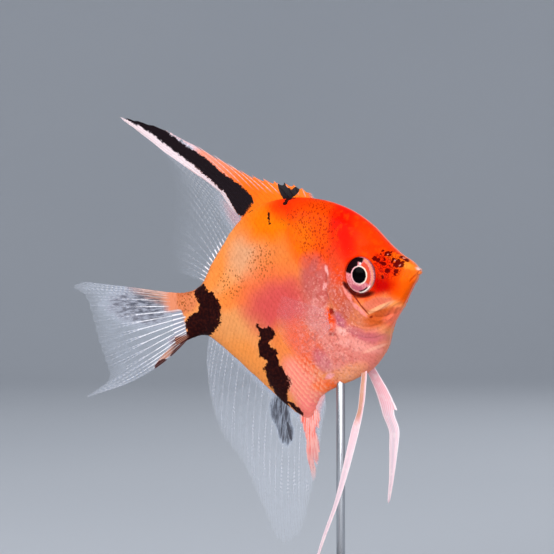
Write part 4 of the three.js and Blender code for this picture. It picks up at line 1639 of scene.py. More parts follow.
@dataclass
class PectoralFin(FanFin):
    """A clear paired fin that stands out from the flank behind the gill cover."""

    side: Side = Side.RIGHT
    root_top: tuple[float, float] = (31.5, -4.6)
    root_bottom: tuple[float, float] = (31.1, -7.4)
    root_out: float = 3.9
    reach: float = 10.9
    shortest: float = 0.55
    sweep: float = math.radians(48)
    rise: float = math.radians(24)
    fall: float = math.radians(-38)

    def length(self, across: np.ndarray) -> np.ndarray:
        """Length of a ray at a place across the fan."""
        longest = np.sin(math.pi * (0.3 + np.clip(across, 0, 1) * 0.55))
        return self.reach * (self.shortest + (1 - self.shortest) * longest)

    def middle(self, across: np.ndarray, outward: np.ndarray) -> np.ndarray:
        """Points of the fin's middle sheet, across the rays and out along them."""
        x = self.root_top[0] + (self.root_bottom[0] - self.root_top[0]) * across
        z = self.root_top[1] + (self.root_bottom[1] - self.root_top[1]) * across
        slope = self.rise + (self.fall - self.rise) * across
        run = self.length(across) * outward
        level = run * np.cos(slope)
        cup = 0.35 * np.sin(across * math.pi) * np.maximum(outward, 0) ** 2
        y = self.root_out + math.sin(self.sweep) * level - math.cos(self.sweep) * cup
        x = x - math.cos(self.sweep) * level - math.sin(self.sweep) * cup
        return np.stack([x, self.side.value * y, z + run * np.sin(slope)], axis=-1)


@dataclass
class PelvicFin:
    """A long ribbon of fused rays, with a stout front spine."""

    side: Side
    columns: int = 90
    ring: int = 28
    thickness: float = 0.30
    ridges: int = 4
    ridge_height: float = 0.22
    spine_height: float = 0.75
    sway: float = 0.25
    root_rise: float = 1.6
    spur: tuple[float, float, float] = (0.36, 0.435, 0.55)

    def build(self, material: bpy.types.Material) -> None:
        """Makes the ribbon, closed at both ends."""
        name = f"pelvic_{self.side.tag}"
        piece, shares = sheet(name, self.columns, self.ring)
        along, around = shares.T
        x, out, z, width = row_at(PELVIC_ROWS[self.side], along).T
        sunk = np.maximum(0, 1 - along * 12)
        z = z + self.root_rise * sunk
        out = out * (1 - 0.85 * sunk)
        turn = around * FULL_TURN
        ends = np.sqrt(np.clip(1 - np.abs(2 * along - 1) ** 40, 0, 1)) * (along < 1)
        ends = np.where(along <= 0, 0, ends)
        across = np.cos(turn)
        level = 1 + self.ridge_height * np.cos(across * math.pi * self.ridges)
        level = level + self.spine_height * bump(across, 0.86, 0.16)
        y = np.sin(turn) * (self.thickness / 2) * level * (0.45 + 0.55 * (1 - along) ** 0.6) * ends
        y = y + self.sway * np.sin(along * math.pi * 2.2) * across * along
        start, end, reach = self.spur
        barb = (along < end) * np.clip((along - start) / (end - start), 0, 1) * reach
        push = np.clip(across, 0, 1) ** 3 * barb * (self.side is Side.LEFT)
        points = [x + across * width / 2 * ends + push, self.side.value * out + y, z - push]
        move_points(piece, FISH.place(np.stack(points, axis=1)))
        paint_map(piece, "Ribbon", np.stack([along, across / 2 + 0.5], axis=1))
        weld(piece)
        smooth(piece, 60)
        finish_piece(piece, material, "pelvic_fin", f"pelvic_fin_{self.side.tag}")


@dataclass(frozen=True)
class FinLook:
    """How a fin's clear parts look: its film, and its rays near the root and beyond.

    The rays' bright roots fade between two distances in millimetres, and joints part them further out.
    """

    film: float = 0.02
    root: float = 0.10
    far: float = 0.03
    bright: tuple[float, float] = (0.8, 2.4)
    gaps: float = 0.7
    bright_from: float = -1.0
    thin: tuple[float, float] = (0.80, 0.5)


LOOKS = {
    "dorsal": FinLook(0.030, 0.98, 0.10, (1.0, 1.7), 0.5, 0.68, (0.30, 0.85)),
    "anal": FinLook(0.062, 0.34, 0.22, (0.6, 2.4), 0.5),
    "caudal": FinLook(0.08, 0.98, 0.30, (6.5, 13.0), 0.3),
}


@dataclass(frozen=True)
class Axis:
    """A straight line in the fish's plane from a root to a tip, in millimetres."""

    root: tuple[float, float]
    tip: tuple[float, float]

    def places(self, shop: Shop, flat: Wire) -> tuple[Wire, Wire]:
        """Where places lie along the line and above it.

        Args:
            shop: The material's shop.
            flat: Places with no y, in fish millimetres.

        Returns:
            The share of the way along, and the height: 0 at 2 mm below the line and 1 at 8 mm above it.
        """
        run, rise = self.tip[0] - self.root[0], self.tip[1] - self.root[1]
        length = math.hypot(run, rise)
        local = shop.vector("SUBTRACT", flat, (self.root[0], 0.0, self.root[1]))
        along = shop.measure("DOT_PRODUCT", local, (run / length**2, 0.0, rise / length**2))
        above = shop.measure("DOT_PRODUCT", local, (rise / length, 0.0, -run / length))
        return along, (above + 2.0) / 10.0


# The dorsal fin's black band runs along this line. The curves give heights above it, root to tip: the
# fin's own edge, the band's upper and lower edges, and the rear edge of the white streak behind it.
BAND = Axis((17.0, 16.0), (-6.6, 39.4))
DORSAL_EDGE = ((0.0, 0.95), (0.06, 0.92), (0.134, 0.81), (0.227, 0.745), (0.305, 0.73), (0.375, 0.695),
               (0.45, 0.672), (0.51, 0.62), (0.57, 0.578), (0.67, 0.54), (0.775, 0.53), (0.85, 0.42),
               (0.92, 0.345), (1.0, 0.225))
BAND_TOP = ((0.03, 0.43), (0.052, 0.489), (0.095, 0.509), (0.16, 0.530), (0.22, 0.514), (0.29, 0.510),
            (0.36, 0.544), (0.42, 0.554), (0.49, 0.540), (0.55, 0.510), (0.64, 0.520), (0.73, 0.505),
            (0.78, 0.477), (0.865, 0.400), (0.95, 0.300), (1.0, 0.240))
BAND_LOW = ((0.03, 0.07), (0.08, 0.065), (0.13, 0.137), (0.20, 0.235), (0.285, 0.259), (0.36, 0.273),
            (0.44, 0.295), (0.52, 0.293), (0.68, 0.296), (0.77, 0.300), (0.857, 0.275), (0.94, 0.232),
            (1.0, 0.21))
STREAK_REAR = ((0.03, 0.01), (0.117, 0.06), (0.227, 0.19), (0.326, 0.205), (0.42, 0.19), (0.51, 0.18),
               (0.65, 0.158), (0.75, 0.170), (0.835, 0.168), (0.92, 0.160), (1.0, 0.175))
DORSAL_SPOT = marks((24.15, 19.5, 0.72, 1.9, 12), (25, 18.2, 0.9, 1.3), (26.4, 18.5, 1.1, 0.62, 35))
ANAL_CORAL = marks((22.3, -22.8, 1.9, 2.4), (21.9, -27, 1.05, 4.2, 6), (21.1, -32.2, 0.5, 4.2, 5))
ANAL_BLOTCH = marks((16.4, -20.6, 2, 3), (16.9, -24.2, 1.6, 3))
ANAL_COMMA = marks((17.7, -24.6, 0.34, 1.8, 4))
TAIL_PEACH = Mark(-2.4, 4.0, 6.6, 1.5, -23.0)
TAIL_SMUDGE = Mark(-8.0, 3.0, 6.2, 2.7, -16.0)
TAIL_TAN = marks((-2.4, -5.3, 5.4, 0.62, 29))
TAIL_BROWN = marks((-6.4, -8.1, 1.5, 0.6, 22), (-2.2, -5.9, 2.2, 0.36, 30), (0, -4.4, 1.6, 0.6, 25))


@dataclass(frozen=True)
class FinPaint:
    """The fins' finishes: clear membranes and pale rays, with the dorsal and anal fin's colours."""

    clear: tuple[float, float, float] = (214, 222, 238)
    ray: tuple[float, float, float] = (250, 248, 252)
    black: tuple[float, float, float] = (22, 10, 16)

    def zones(self, shop: Shop, name: str) -> tuple[Wire, Wire, Wire | float]:
        """The colour of a fin, and how much of it there is.

        Args:
            shop: The material's shop.
            name: The fin's name.

        Returns:
            The colour, the share of it, 0 where the fin is clear, and how fully rays take it.
        """
        across, outward = shop.map_place("Fan")
        place = shop.fish_place()
        ragged = shop.noise(place, 0.7, detail=4.0) - 0.5
        fine = shop.noise(place, 0.22, detail=3.0) - 0.5
        streaky = across + ragged * 0.030 + fine * 0.022
        reach = outward + ragged * 0.12
        flat = shop.flattened(place)
        if name == "dorsal":
            return self.dorsal(shop, flat, streaky, reach, ragged + fine)
        if name == "anal":
            return self.anal(shop, flat, streaky, reach, ragged + fine)
        if name == "caudal":
            return self.caudal(shop, flat, ragged + fine)
        base = shop.mix(colour(250, 200, 180), colour(*self.clear), outward.step(0, 0.2))
        return base, outward.step(0.1, 0) * 0.4, 0.8

    def dorsal(self, shop: Shop, flat: Wire, across: Wire, outward: Wire,
               rough: Wire) -> tuple[Wire, Wire, Wire]:
        """Orange spiny part, a ragged black band with a white streak behind it, and a black spot in front.

        Args:
            shop: The material's shop.
            flat: Places with no y, in fish millimetres.
            across: Place across the fan, made uneven.
            outward: Place out along the rays, made uneven.
            rough: Noise about zero.

        Returns:
            The colour, the share of it and how fully rays take it.
        """
        crisp = 0.008
        soft = 0.010
        run, rise = BAND.places(shop, flat)
        along = run + rough * 0.03
        level = rise + rough * 0.085
        edge = shop.curve(along, DORSAL_EDGE)
        top = shop.curve(along, BAND_TOP)
        low = shop.curve(along, BAND_LOW)
        rear = shop.curve(run, STREAK_REAR)
        begun = (along + (level - 0.3) * 0.03).step(0.024, 0.036)
        band = (top - level).about(0, crisp) * (level - low).about(0, crisp) * begun
        black = shop.largest(band, shop.joined(flat, DORSAL_SPOT, 0.44, 0.10, rough * 0.5))
        streak = (low - level).about(0, crisp) * (rise - rear).step(-0.012, 0.012) * run.step(0.05, 0.12)
        fibre = shop.math("SINE", rise * 150.0 + rough * 2.0) * 0.5 + 0.5
        solid = run.step(0.15, 0.55) * 0.45 + fibre * 0.25 + 0.28
        front = (level - top).about(0, soft) * (edge - rise).about(0, soft) * across.step(-0.01, 0.03)
        tip = run.step(0.44, 0.54)
        torn = shop.noise(flat, 1.0, detail=3.0).step(0.40, 0.56)
        orange = front * (1 - tip * (1 - torn * 0.85))
        flesh = (1 - begun) * across.step(0.585, 0.55) * across.step(0.0, 0.05)
        haze = across.step(0.70, 0.57) * across.step(0.55, 0.57) * outward.step(0.30, 0.02)
        # Painted highlight: a pale line just inside the fin's outer edge.
        edge_highlight = (edge - rise).step(0.05, 0.01) * run.step(0.16, 0.28) * 0.8
        tint = shop.laid(
            colour(252, 112, 16),
            ((250, 150, 124), run.step(0.10, 0.46)),
            ((236, 222, 236), tip),
            ((250, 206, 206), edge_highlight),
            ((216, 176, 190), haze),
            ((250, 226, 228), streak),
            ((250, 116, 12), flesh),
            (self.black, black),
        )
        share = shop.largest(orange * 0.96, flesh, black, streak * solid, haze * 0.30)
        return tint, share, 1 - (1 - black) * outward.step(0.25, 0.55) * 0.42

    def anal(self, shop: Shop, flat: Wire, across: Wire, outward: Wire,
             rough: Wire) -> tuple[Wire, Wire, Wire]:
        """A coral wedge behind pale front rays, and a smoky blotch on a clear blue-grey fan.

        Args:
            shop: The material's shop.
            flat: Places with no y, in fish millimetres.
            across: Place across the fan, made uneven.
            outward: Place out along the rays, made uneven.
            rough: Noise about zero.

        Returns:
            The colour, the share of it and how fully rays take it.
        """
        stripes = self.fan_noise(shop, 60.0, 5.0).step(0.35, 0.6)
        fine = self.fan_noise(shop, 150.0, 9.0).step(0.35, 0.6)
        coral = shop.joined(flat, ANAL_CORAL, 0.5, 0.26, rough * 0.5 + (stripes - 0.5) * 0.4)
        fading = shop.parts(flat)[2].step(-35.0, -25.0) * 0.76 + 0.14
        front = across.step(0.24, 0.14) * outward.step(0.85, 0.10)
        smoke = shop.joined(flat, ANAL_BLOTCH, 0.58, 0.55, rough * 0.7) * (0.46 + fine * 0.54)
        blotch = shop.largest(smoke, shop.joined(flat, ANAL_COMMA, 0.5, 0.3, rough * 0.8))
        warm = shop.laid(
            colour(252, 108, 88), ((240, 150, 146), outward.step(0.2, 0.8)), ((255, 196, 184), stripes * 0.7),
        )
        tint = shop.mix(shop.laid(colour(176, 190, 214), ((252, 190, 190), front)), warm, coral)
        tint = shop.laid(tint, ((34, 30, 48), blotch))
        root = outward.step(0.10, 0.0) * 0.30
        return tint, shop.largest(coral * fading, front * 0.52, blotch * 0.56, root), 0.75 + blotch * 0.1

    def fan_noise(self, shop: Shop, across: float, outward: float, detail: float = 2.0) -> Wire:
        """Noise that is drawn out along the rays, by its number of lumps across the fan and outward."""
        fan = shop.node("ShaderNodeUVMap", {"uv_map": "Fan"})
        return shop.noise(shop.vector("MULTIPLY", fan, (across, outward, 0.0)), 1.0, detail)

    def caudal(self, shop: Shop, flat: Wire, rough: Wire) -> tuple[Wire, Wire, Wire]:
        """Peach along the top edge, a soft grey smudge, and tan and brown along the lower edge.

        Args:
            shop: The material's shop.
            flat: Places with no y, in fish millimetres.
            rough: Noise about zero.

        Returns:
            The colour, the share of it and how fully rays take it.
        """
        x, _, z = shop.parts(flat)
        near = (x + rough * 0.9).step(-4.8, -2.2)
        above, below = near * z.step(*TAIL_PEACH_FROM), near * z.step(*TAIL_BROWN_FROM)
        speck = self.fan_noise(shop, 70.0, 11.0, detail=4.0).step(0.36, 0.66)
        peach = shop.patch(flat, TAIL_PEACH, 0.7)
        smudge = shop.patch(flat, TAIL_SMUDGE, 0.8) * (speck * 0.6 + 0.4) * (1 - near * 0.8)
        tan = shop.joined(flat, TAIL_TAN, 0.5, 0.25, rough * 0.5)
        brown = shop.joined(flat, TAIL_BROWN, 0.5, 0.18, rough * 0.9)
        tint = shop.laid(
            colour(214, 208, 226),
            ((240, 176, 146), peach),
            ((52, 56, 74), smudge),
            ((200, 142, 118), tan),
            ((74, 30, 26), brown),
            (TAIL_TOP, above),
            (TAIL_LOW, below),
        )
        share = shop.largest(peach * 0.88, smudge * 0.40, tan * 0.75, brown * 0.88, above, below)
        return tint, share, shop.largest(brown * 0.8, peach * 0.6, tan * 0.5, above * 0.8) + 0.15

    def membrane(self, name: str) -> bpy.types.Material:
        """The finish of a fin's membrane.

        Args:
            name: The fin's name.

        Returns:
            The material.
        """
        shop = Shop(f"{name}_membrane")
        tint, share, _ = self.zones(shop, name)
        place = shop.fish_place()
        look = LOOKS.get(name, FinLook())
        cloud = shop.noise(place, 1.4, detail=3.0)
        fine = self.fan_noise(shop, 230.0, 14.0).step(0.3, 0.7)
        clear = (cloud * look.film + look.film * 0.4) * (1 + fine * 0.7) * self.thinned(shop, look)
        return shop.shade(
            Base_Color=shop.mix(colour(*self.clear), tint, share.step(0.02, 0.30)), Roughness=0.36,
            Alpha=share + (1 - share) * clear, Specular_IOR_Level=0.10,
            Normal=shop.bumped(shop.noise(place, 0.35, detail=2.0), 0.3, 0.00004),
        )

    def thinned(self, shop: Shop, look: FinLook) -> Wire:
        """How much is left of a fin's clear parts out along its rays."""
        _, outward = shop.map_place("Fan")
        return 1 - outward.step(look.thin[0], 1.0) * look.thin[1]

    def rays(self, name: str) -> bpy.types.Material:
        """The finish of a fin's rays: bony white with clear joints, tinted where the fin is.

        Args:
            name: The fin's name.

        Returns:
            The material.
        """
        shop = Shop(f"{name}_rays")
        tint, share, hold = self.zones(shop, name)
        look = LOOKS.get(name, FinLook())
        bead = shop.node("ShaderNodeAttribute", {"attribute_name": "bead"}, output="Fac")
        uneven = shop.noise(shop.fish_place(), 1.1, detail=3.0)
        joint = (shop.math("COSINE", bead * FULL_TURN) + uneven * 1.2 - 0.6).step(-0.5, 0.6)
        across, _ = shop.map_place("Fan")
        near = bead.step(look.bright[1], look.bright[0])
        near = near * across.step(look.bright_from, look.bright_from + 0.12)
        bony = shop.mix(colour(196, 204, 224), colour(*self.ray), shop.largest(joint, near))
        strong = self.fan_noise(shop, 22.0, 3.0).step(0.30, 0.66) * 1.1 + 0.35
        shown = near * look.root + (1 - near) * (joint * look.gaps + (1 - look.gaps)) * look.far
        shown = shown * strong * self.thinned(shop, look)
        return shop.shade(
            Base_Color=shop.mix(bony, tint, share.step(0.0, 0.5) * hold), Roughness=0.40,
            Alpha=shop.largest(share, shown), Specular_IOR_Level=0.12,
        )

    def ribbon(self) -> bpy.types.Material:
        """The finish of the pelvic fins: pink, lined along their length, white towards the tip."""
        shop = Shop("pelvic_ribbon")
        along, across = shop.map_place("Ribbon")
        place = shop.fish_place()
        _, y, _ = shop.parts(place)
        near = y.step(0.0, -0.2) * along.step(0.42, 0.26)
        core = across.band(0.30, 0.62, 0.12) * along.step(0.40, 0.60)
        lines = shop.math("SINE", across * 44.0 + shop.noise(place, 1.5) * 1.5)
        blush = shop.noise(place, 1.2, detail=3.0).step(0.5, 0.75)
        edge = (255, 244, 246)
        tint = shop.laid(
            colour(248, 188, 196),
            ((252, 226, 234), along.step(0.20, 0.70)),
            ((200, 142, 112), near * across.step(0.86, 0.62)),
            ((196, 190, 200), core * 0.45),
            (edge, across.step(0.14, 0.04) * 0.8),
            (edge, across.step(0.90, 0.97) * 0.8),
            ((230, 122, 128), lines.step(0.3, 1.0) * 0.42),
            ((255, 236, 234), blush * 0.4),
        )
        return shop.shade(
            Base_Color=tint, Roughness=0.36, Normal=shop.bumped(lines, 0.3, 0.00003),
            Coat_Weight=0.2, Coat_Roughness=0.12,
        )


# ---------------------------------------------------------------- eyes


@dataclass(frozen=True)
class EyePaint:
    """The iris and pupil, laid out round the eye's middle in millimetres."""

    pupil: Mark = Mark(0.28, 0.0, 1.32, 1.50)
    # The pale dot above the pupil's ring is a painted highlight.
    painted_glint: Mark = Mark(0.75, 2.0, 0.16, 0.24)
    ring: float = 0.19

    def material(self) -> bpy.types.Material:
        """The finish of both eyeballs: arcs of colour round the pupil, by turn in degrees and share out, with
        a painted highlight arc below and a painted glint.
        """
        shop = Shop("eye")
        place = shop.fish_place()
        local = shop.vector("SUBTRACT", place, (EYE.x, 0.0, EYE.z))
        flat = shop.vector("MULTIPLY", local, (1.0, 0.0, 1.0))
        noise = shop.noise(place, 0.5, detail=3.0, output=1)
        flat = shop.vector("ADD", flat, shop.scaled(shop.vector("SUBTRACT", noise, (0.5, 0.5, 0.5)), 0.16))
        wide = shop.vector("MULTIPLY", flat, (1 / EYE.orbit_long, 0.0, 1 / EYE.orbit_high))
        share = shop.measure("LENGTH", wide)
        x, _, z = shop.parts(wide)
        turn = shop.math("ARCTAN2", z, x) * math.degrees(1)
        streaks = shop.noise(place, 0.22, detail=4.0)
        tint = shop.mix(colour(214, 112, 124), colour(242, 162, 162), streaks.step(0.38, 0.66))
        tint = shop.laid(
            tint,
            ((192, 84, 108), turn.band(-140, -78, 10) * share.band(0.58, 0.80, 0.04) * 0.8),
            ((250, 184, 176), share.band(0.85, 0.90, 0.03) * (1 - turn.band(-60, 70, 8))),
        )
        arcs = (
            ((222, 74, 42), (-46, 56), (0.50, 0.82), 0.95),
            ((240, 156, 112), (-36, 62), (0.87, 0.96), 0.8),
            ((24, 8, 12), (80, 160), (0.47, 0.98), 1.0),
            ((24, 8, 12), (58, 86), (0.72, 0.97), 1.0),
            ((14, 2, 4), (-100, -58), (0.80, 0.87), 1.0),
            ((186, 140, 112), (-72, -28), (0.94, 1.02), 0.8),
            # Painted highlight: the white crescent along the lower rim of the iris.
            ((255, 250, 236), (-100, -46), (0.87, 0.93), 1.0),
        )
        for shade, (start, end), (low, high), strength in arcs:
            arc = turn.band(start, end, 4) * share.band(low, high, 0.025)
            tint = shop.mix(tint, colour(*shade), arc * strength)
        tint = shop.mix(tint, colour(60, 12, 14), share.step(0.97, 1.06) * 0.8)
        ring = Mark(self.pupil.x, self.pupil.z, self.pupil.long + self.ring, self.pupil.high + self.ring)
        bright = shop.mix(colour(246, 190, 194), colour(255, 236, 214), x.step(-0.2, 0.4))
        tint = shop.mix(tint, bright, shop.patch(flat, ring, 0.06) * 0.96)
        black = shop.patch(flat, self.pupil, 0.06)
        tint = shop.mix(tint, colour(4, 3, 5), black)
        # Painted highlight: a small pale glint above the pupil.
        tint = shop.mix(tint, colour(255, 236, 232), shop.patch(flat, self.painted_glint, 0.3) * 0.9)
        return shop.shade(
            Base_Color=tint, Roughness=0.24 - black * 0.12, Specular_IOR_Level=0.02,
            Normal=shop.bumped(streaks * (1 - black), 0.2, 0.00003),
        )


@dataclass
class EyeBall:
    """One eyeball with a domed cornea, and the soft ring of skin round it."""

    side: Side
    segments: int = 96
    rings: int = 64
    dome: float = 0.12
    dome_radius: float = 2.0
    lid_thick: float = 0.13
    lid_tube: float = 0.25
    lid_at: float = 1.03
    ground_at: float = 1.16
    wobble: float = 0.012

    def build(self, surface: Surface, eye: bpy.types.Material, skin: bpy.types.Material) -> None:
        """Makes the eyeball and its ring.

        Args:
            surface: The skin, on which the ring lies.
            eye: The eyeball's material.
            skin: The ring's material.
        """
        deselect()
        bpy.ops.mesh.primitive_uv_sphere_add(segments=self.segments, ring_count=self.rings, radius=1)
        piece = named(f"eyeball_{self.side.tag}")
        edit(piece, lambda: bpy.ops.transform.rotate(
            value=math.pi / 2, orient_axis="X", center_override=(0, 0, 0)))
        x, y, z = coordinates(piece).T
        sign = self.side.value
        radius = np.hypot(x * EYE.half_long, z * EYE.half_high)
        swell = self.dome * np.clip(1 - (radius / self.dome_radius) ** 2, 0, 1) * (y * sign > 0)
        out = sign * EYE.out + y * EYE.half_deep + sign * swell
        points = np.stack([EYE.x + x * EYE.half_long, out, EYE.z + z * EYE.half_high], axis=1)
        move_points(piece, FISH.place(points))
        smooth(piece)
        finish_piece(piece, eye, "eye", f"eye_{self.side.tag}")
        self.lid(surface, skin)

    def lid(self, surface: Surface, skin: bpy.types.Material) -> None:
        """Makes the ring of skin round the eyeball, lying on the flank all the way."""
        deselect()
        bpy.ops.mesh.primitive_torus_add(
            major_segments=120, minor_segments=14, major_radius=1.0, minor_radius=self.lid_tube)
        piece = named(f"orbit_ring_{self.side.tag}")
        x, y, z = coordinates(piece).T
        turn = np.arctan2(y, x)
        width, height = (np.hypot(x, y) - 1.0) / self.lid_tube, z / self.lid_tube
        reach = (1 + self.wobble * np.sin(turn * 3 + 0.5)) * self.lid_at
        rim_x = EYE.orbit_x + np.cos(turn) * EYE.orbit_long * reach
        rim_z = EYE.orbit_z + np.sin(turn) * EYE.orbit_high * reach
        outer_x = EYE.orbit_x + np.cos(turn) * EYE.orbit_long * self.ground_at
        outer_z = EYE.orbit_z + np.sin(turn) * EYE.orbit_high * self.ground_at
        column, row, _ = surface.find(outer_x, outer_z, self.side)
        ground = np.abs(surface.sample(surface.points, column, row)[:, 1])
        points = np.stack([
            rim_x + np.cos(turn) * width * self.lid_thick,
            self.side.value * (ground + height * self.lid_thick * 0.8),
            rim_z + np.sin(turn) * width * self.lid_thick,
        ], axis=1)
        move_points(piece, FISH.place(points))
        weld(piece)
        smooth(piece)
        finish_piece(piece, skin, "skin")


# ---------------------------------------------------------------- stand


@dataclass(frozen=True)
class StandFinish:
    """The stand's two finishes."""

    def satin_black(self) -> bpy.types.Material:
        """Black moulded base with a fine satin grain."""
        shop = Shop("satin_black")
        place = shop.node("ShaderNodeTexCoord", output="Object")
        grain = shop.noise(place, 0.0004, detail=3.0)
        wear = shop.noise(place, 0.012, detail=4.0)
        tint = shop.mix(colour(28, 29, 32), colour(46, 47, 51), wear.step(0.35, 0.75))
        normal = shop.bumped(grain, 0.2, 0.00003)
        return shop.shade(Base_Color=tint, Roughness=wear * 0.14 + 0.30, Normal=normal)

    def drawn_steel(self) -> bpy.types.Material:
        """Drawn steel with fine lines along it."""
        shop = Shop("drawn_steel")
        place = shop.node("ShaderNodeTexCoord", output="Object")
        inputs = {"Vector": place, "Scale": (9000.0, 9000.0, 120.0)}
        lines = shop.noise(shop.node("ShaderNodeMapping", {}, inputs), 1.0, detail=2.0)
        tint = shop.mix(colour(176, 178, 182), colour(206, 208, 212), lines)
        normal = shop.bumped(lines, 0.15, 0.00001)
        return shop.shade(Base_Color=tint, Metallic=1.0, Roughness=lines * 0.16 + 0.20, Normal=normal)


@dataclass
class Stand:
    """The round base, the collar and the rod."""

    groove: float = 0.5
    groove_in: float = 0.12
    segments: int = 128
    base_edge: float = 0.18
    collar_edge: float = 0.5
    rod_edge: float = 0.15
    sharp: float = 40.0
    base_sharp: float = 30.0

    def build(self, finish: StandFinish) -> None:
        """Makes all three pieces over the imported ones."""
        steel = finish.drawn_steel()
        self.disc(finish.satin_black())
        self.turned("rod_collar", "stand_collar", steel, self.collar_edge, 5)
        self.turned("support_rod", "stand_rod", steel, self.rod_edge, 2)

    def cylinder(self, name: str, low: tuple[float, float, float],
                 high: tuple[float, float, float]) -> bpy.types.Object:
        """Adds an upright cylinder that fills a box, and lays its place into its mesh."""
        deselect()
        radius = (high[0] - low[0]) / 2
        middle = [(a + b) / 2 for a, b in zip(low, high)]
        bpy.ops.mesh.primitive_cylinder_add(
            vertices=self.segments, radius=radius, depth=high[2] - low[2], location=middle)
        piece = named(name)
        bpy.ops.object.transform_apply(location=True, rotation=True, scale=True)
        return piece

    def disc(self, material: bpy.types.Material) -> None:
        """The base: a turned disc with a rounded edge and a fine groove on top."""
        low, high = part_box("stand_base")
        piece = self.cylinder("base_disc", low, high)
        radius = (high[0] - low[0]) / 2
        self.select_top(piece, high[2])
        bpy.ops.object.mode_set(mode="EDIT")
        bpy.ops.mesh.inset(thickness=radius * self.groove_in)
        bpy.ops.mesh.inset(thickness=self.groove * MM, depth=-self.groove * MM)
        bpy.ops.mesh.inset(thickness=self.groove * MM, depth=self.groove * MM)
        bpy.ops.object.mode_set(mode="OBJECT")
        self.rounded(piece, self.base_edge, 2, self.base_sharp)
        finish_piece(piece, material, "stand_base", "stand_base")

    def select_top(self, piece: bpy.types.Object, level: float) -> None:
        """Selects the faces that lie at a level."""
        for face in piece.data.polygons:
            face.select = abs(face.center.z - level) < 1e-6
        for part in (piece.data.vertices, piece.data.edges):
            for element in part:
                element.select = False
        for face in piece.data.polygons:
            if face.select:
                for vertex in face.vertices:
                    piece.data.vertices[vertex].select = True

    def turned(self, name: str, node: str, material: bpy.types.Material, edge: float, segments: int) -> None:
        """Makes the collar or the rod, with rounded shoulders.

        Args:
            name: The piece's name.
            node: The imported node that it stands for.
            material: The steel.
            edge: Width of the rounding in millimetres.
            segments: Faces across the rounding.
        """
        piece = self.cylinder(name, *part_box(node))
        self.rounded(piece, edge, segments, self.sharp)
        finish_piece(piece, material, "stand_steel", node)

    def rounded(self, piece: bpy.types.Object, width: float, segments: int, angle: float) -> None:
        """Rounds a piece's edges that are sharper than an angle in degrees, and shades it smooth."""
        modify(piece, "BEVEL", width=width * MM, segments=segments, limit_method="ANGLE",
               angle_limit=math.radians(angle))
        smooth(piece, self.sharp)


# ---------------------------------------------------------------- studio


# The lights: name, place and size in metres, and power in watts.
LAMPS = (
    ("key", (-0.15, -0.70, 0.45), 0.5, 4.7),
    ("fill", (0.75, -0.35, 0.25), 0.6, 1.2),
    ("low", (0.35, -0.60, 0.05), 0.4, 1.8),
    ("back", (0.15, 0.65, 0.55), 0.5, 1.4),
)

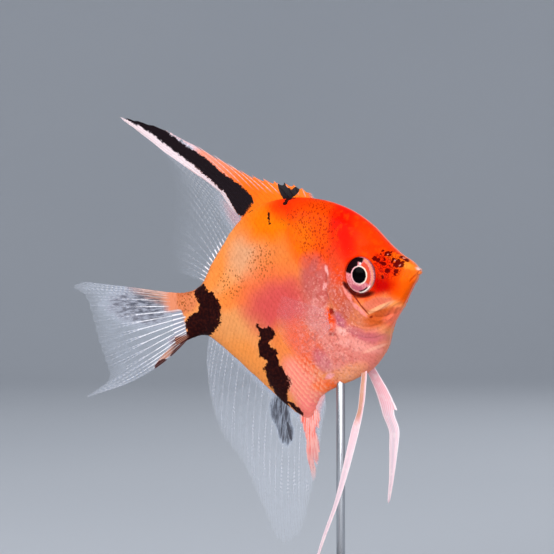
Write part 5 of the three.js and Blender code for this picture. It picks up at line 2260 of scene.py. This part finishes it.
@dataclass
class Studio:
    """The pale round sweep, the soft lights and the camera."""

    centre: tuple[float, float, float] = (-6.778, 0.0, 64.512)
    camera_away: float = 450.0
    yaw: float = math.radians(25.0)
    half_view: float = 0.113262
    sensor: float = 36.0
    sweep_flat: float = 1.1
    sweep_radius: float = 0.9
    sweep_rise: float = 1.6
    floor_tint: tuple[float, float, float] = (196, 202, 212)
    floor_light: tuple[float, float, float] = (204, 209, 218)
    room_tint: tuple[float, float, float, float] = (0.96, 0.98, 1.0, 1.0)
    room_strength: float = 0.44

    def build(self) -> None:
        """Makes everything round the fish."""
        self.camera()
        self.sweep()
        self.lights()

    def camera(self) -> None:
        """A level camera, turned towards the fish's right side and a little to its front."""
        data = bpy.data.cameras.new("view")
        data.sensor_width = self.sensor
        data.lens = self.sensor / 2 / self.half_view
        camera = bpy.data.objects.new("view", data)
        away = self.camera_away
        x, y, z = self.centre
        camera.location = ((x + away * math.sin(self.yaw)) * MM, (y - away * math.cos(self.yaw)) * MM, z * MM)
        camera.rotation_euler = (math.pi / 2, 0.0, self.yaw)
        bpy.context.scene.collection.objects.link(camera)
        bpy.context.scene.camera = camera

    def sweep(self) -> None:
        """A plain floor that curves up into a wall all round."""
        piece, shares = sheet("floor_sweep", 128, 48)
        turn = shares[:, 0] * FULL_TURN
        run = shares[:, 1] * 2
        bend = np.clip(run - 1, 0, 1) * math.pi / 2
        radius = self.sweep_flat * np.minimum(run, 1) + self.sweep_radius * np.sin(bend)
        height = self.sweep_radius * (1 - np.cos(bend)) * self.sweep_rise
        move_points(piece, np.stack([radius * np.cos(turn), radius * np.sin(turn), height], axis=1))
        edit(piece, lambda: bpy.ops.mesh.remove_doubles(threshold=1e-5))
        smooth(piece)
        shop = Shop("pale_floor")
        place = shop.node("ShaderNodeTexCoord", output="Object")
        soft = shop.noise(place, 0.3, detail=2.0)
        tint = shop.mix(colour(*self.floor_tint), colour(*self.floor_light), soft)
        piece.data.materials.append(shop.shade(Base_Color=tint, Roughness=0.75))

    def lights(self) -> None:
        """A large key from above the camera, a fill, a back light and a soft world."""
        for lamp in LAMPS:
            self.area(*lamp)
        world = bpy.data.worlds.new("soft_room")
        world.use_nodes = True
        background = world.node_tree.nodes["Background"]
        background.inputs["Color"].default_value = self.room_tint
        background.inputs["Strength"].default_value = self.room_strength
        bpy.context.scene.world = world
        bpy.context.scene.view_settings.view_transform = "Standard"

    def area(self, name: str, place: tuple[float, float, float], size: float, power: float) -> None:
        """Adds a square light that faces the fish."""
        data = bpy.data.lights.new(name, "AREA")
        data.size = size
        data.energy = power
        light = bpy.data.objects.new(name, data)
        light.location = place
        way = np.array(self.centre) * MM - np.array(place)
        yaw = math.atan2(way[1], way[0]) - math.pi / 2
        tilt = math.atan2(math.hypot(way[0], way[1]), -way[2])
        light.rotation_euler = (tilt, 0.0, yaw)
        light.visible_camera = False
        bpy.context.scene.collection.objects.link(light)


# ---------------------------------------------------------------- the model


def fan_fins() -> list[FanFin]:
    """The unpaired fins."""
    return [
        FanFin("dorsal", "dorsal_fin", DORSAL_ROWS, 11, 0.42, 24, spine_notch=0.2, soft_radius=0.13),
        FanFin("anal", "anal_fin", ANAL_ROWS, 6, 0.19, 24, bead=0.72, soft_notch=0.05),
        FanFin("caudal", "caudal_fin", CAUDAL_ROWS, 0, 0.0, 17, soft_radius=0.12, soft_notch=0.02),
    ]


def main() -> None:
    """Builds the fish, its stand and the studio."""
    logging.basicConfig(level=logging.INFO, format="%(name)s: %(message)s")
    Studio().build()
    paint = SkinPaint()
    surface = Skin().build(paint)
    scale_finish = paint.scales()
    coat = ScaleCoat(surface)
    for region in Region:
        for side in Side:
            coat.build(region, side, scale_finish)
    fin_paint = FinPaint()
    for fin in fan_fins():
        fin.build(fin_paint)
    ribbon = fin_paint.ribbon()
    eye_finish = EyePaint().material()
    ring_finish = paint.skin()
    for side in Side:
        node = f"pectoral_fin_{side.tag}"
        fin = PectoralFin(f"pectoral_{side.tag}", node, CAUDAL_ROWS, 0, 0.0, 12, columns=60, side=side,
                          root_depth=0.8, soft_radius=0.07)
        fin.build(fin_paint)
        PelvicFin(side).build(ribbon)
        EyeBall(side).build(surface, eye_finish, ring_finish)
    Stand().build(StandFinish())
    write_sizes()


def write_sizes() -> None:
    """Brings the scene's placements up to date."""
    bpy.context.view_layer.update()


if __name__ == "__main__":
    main()
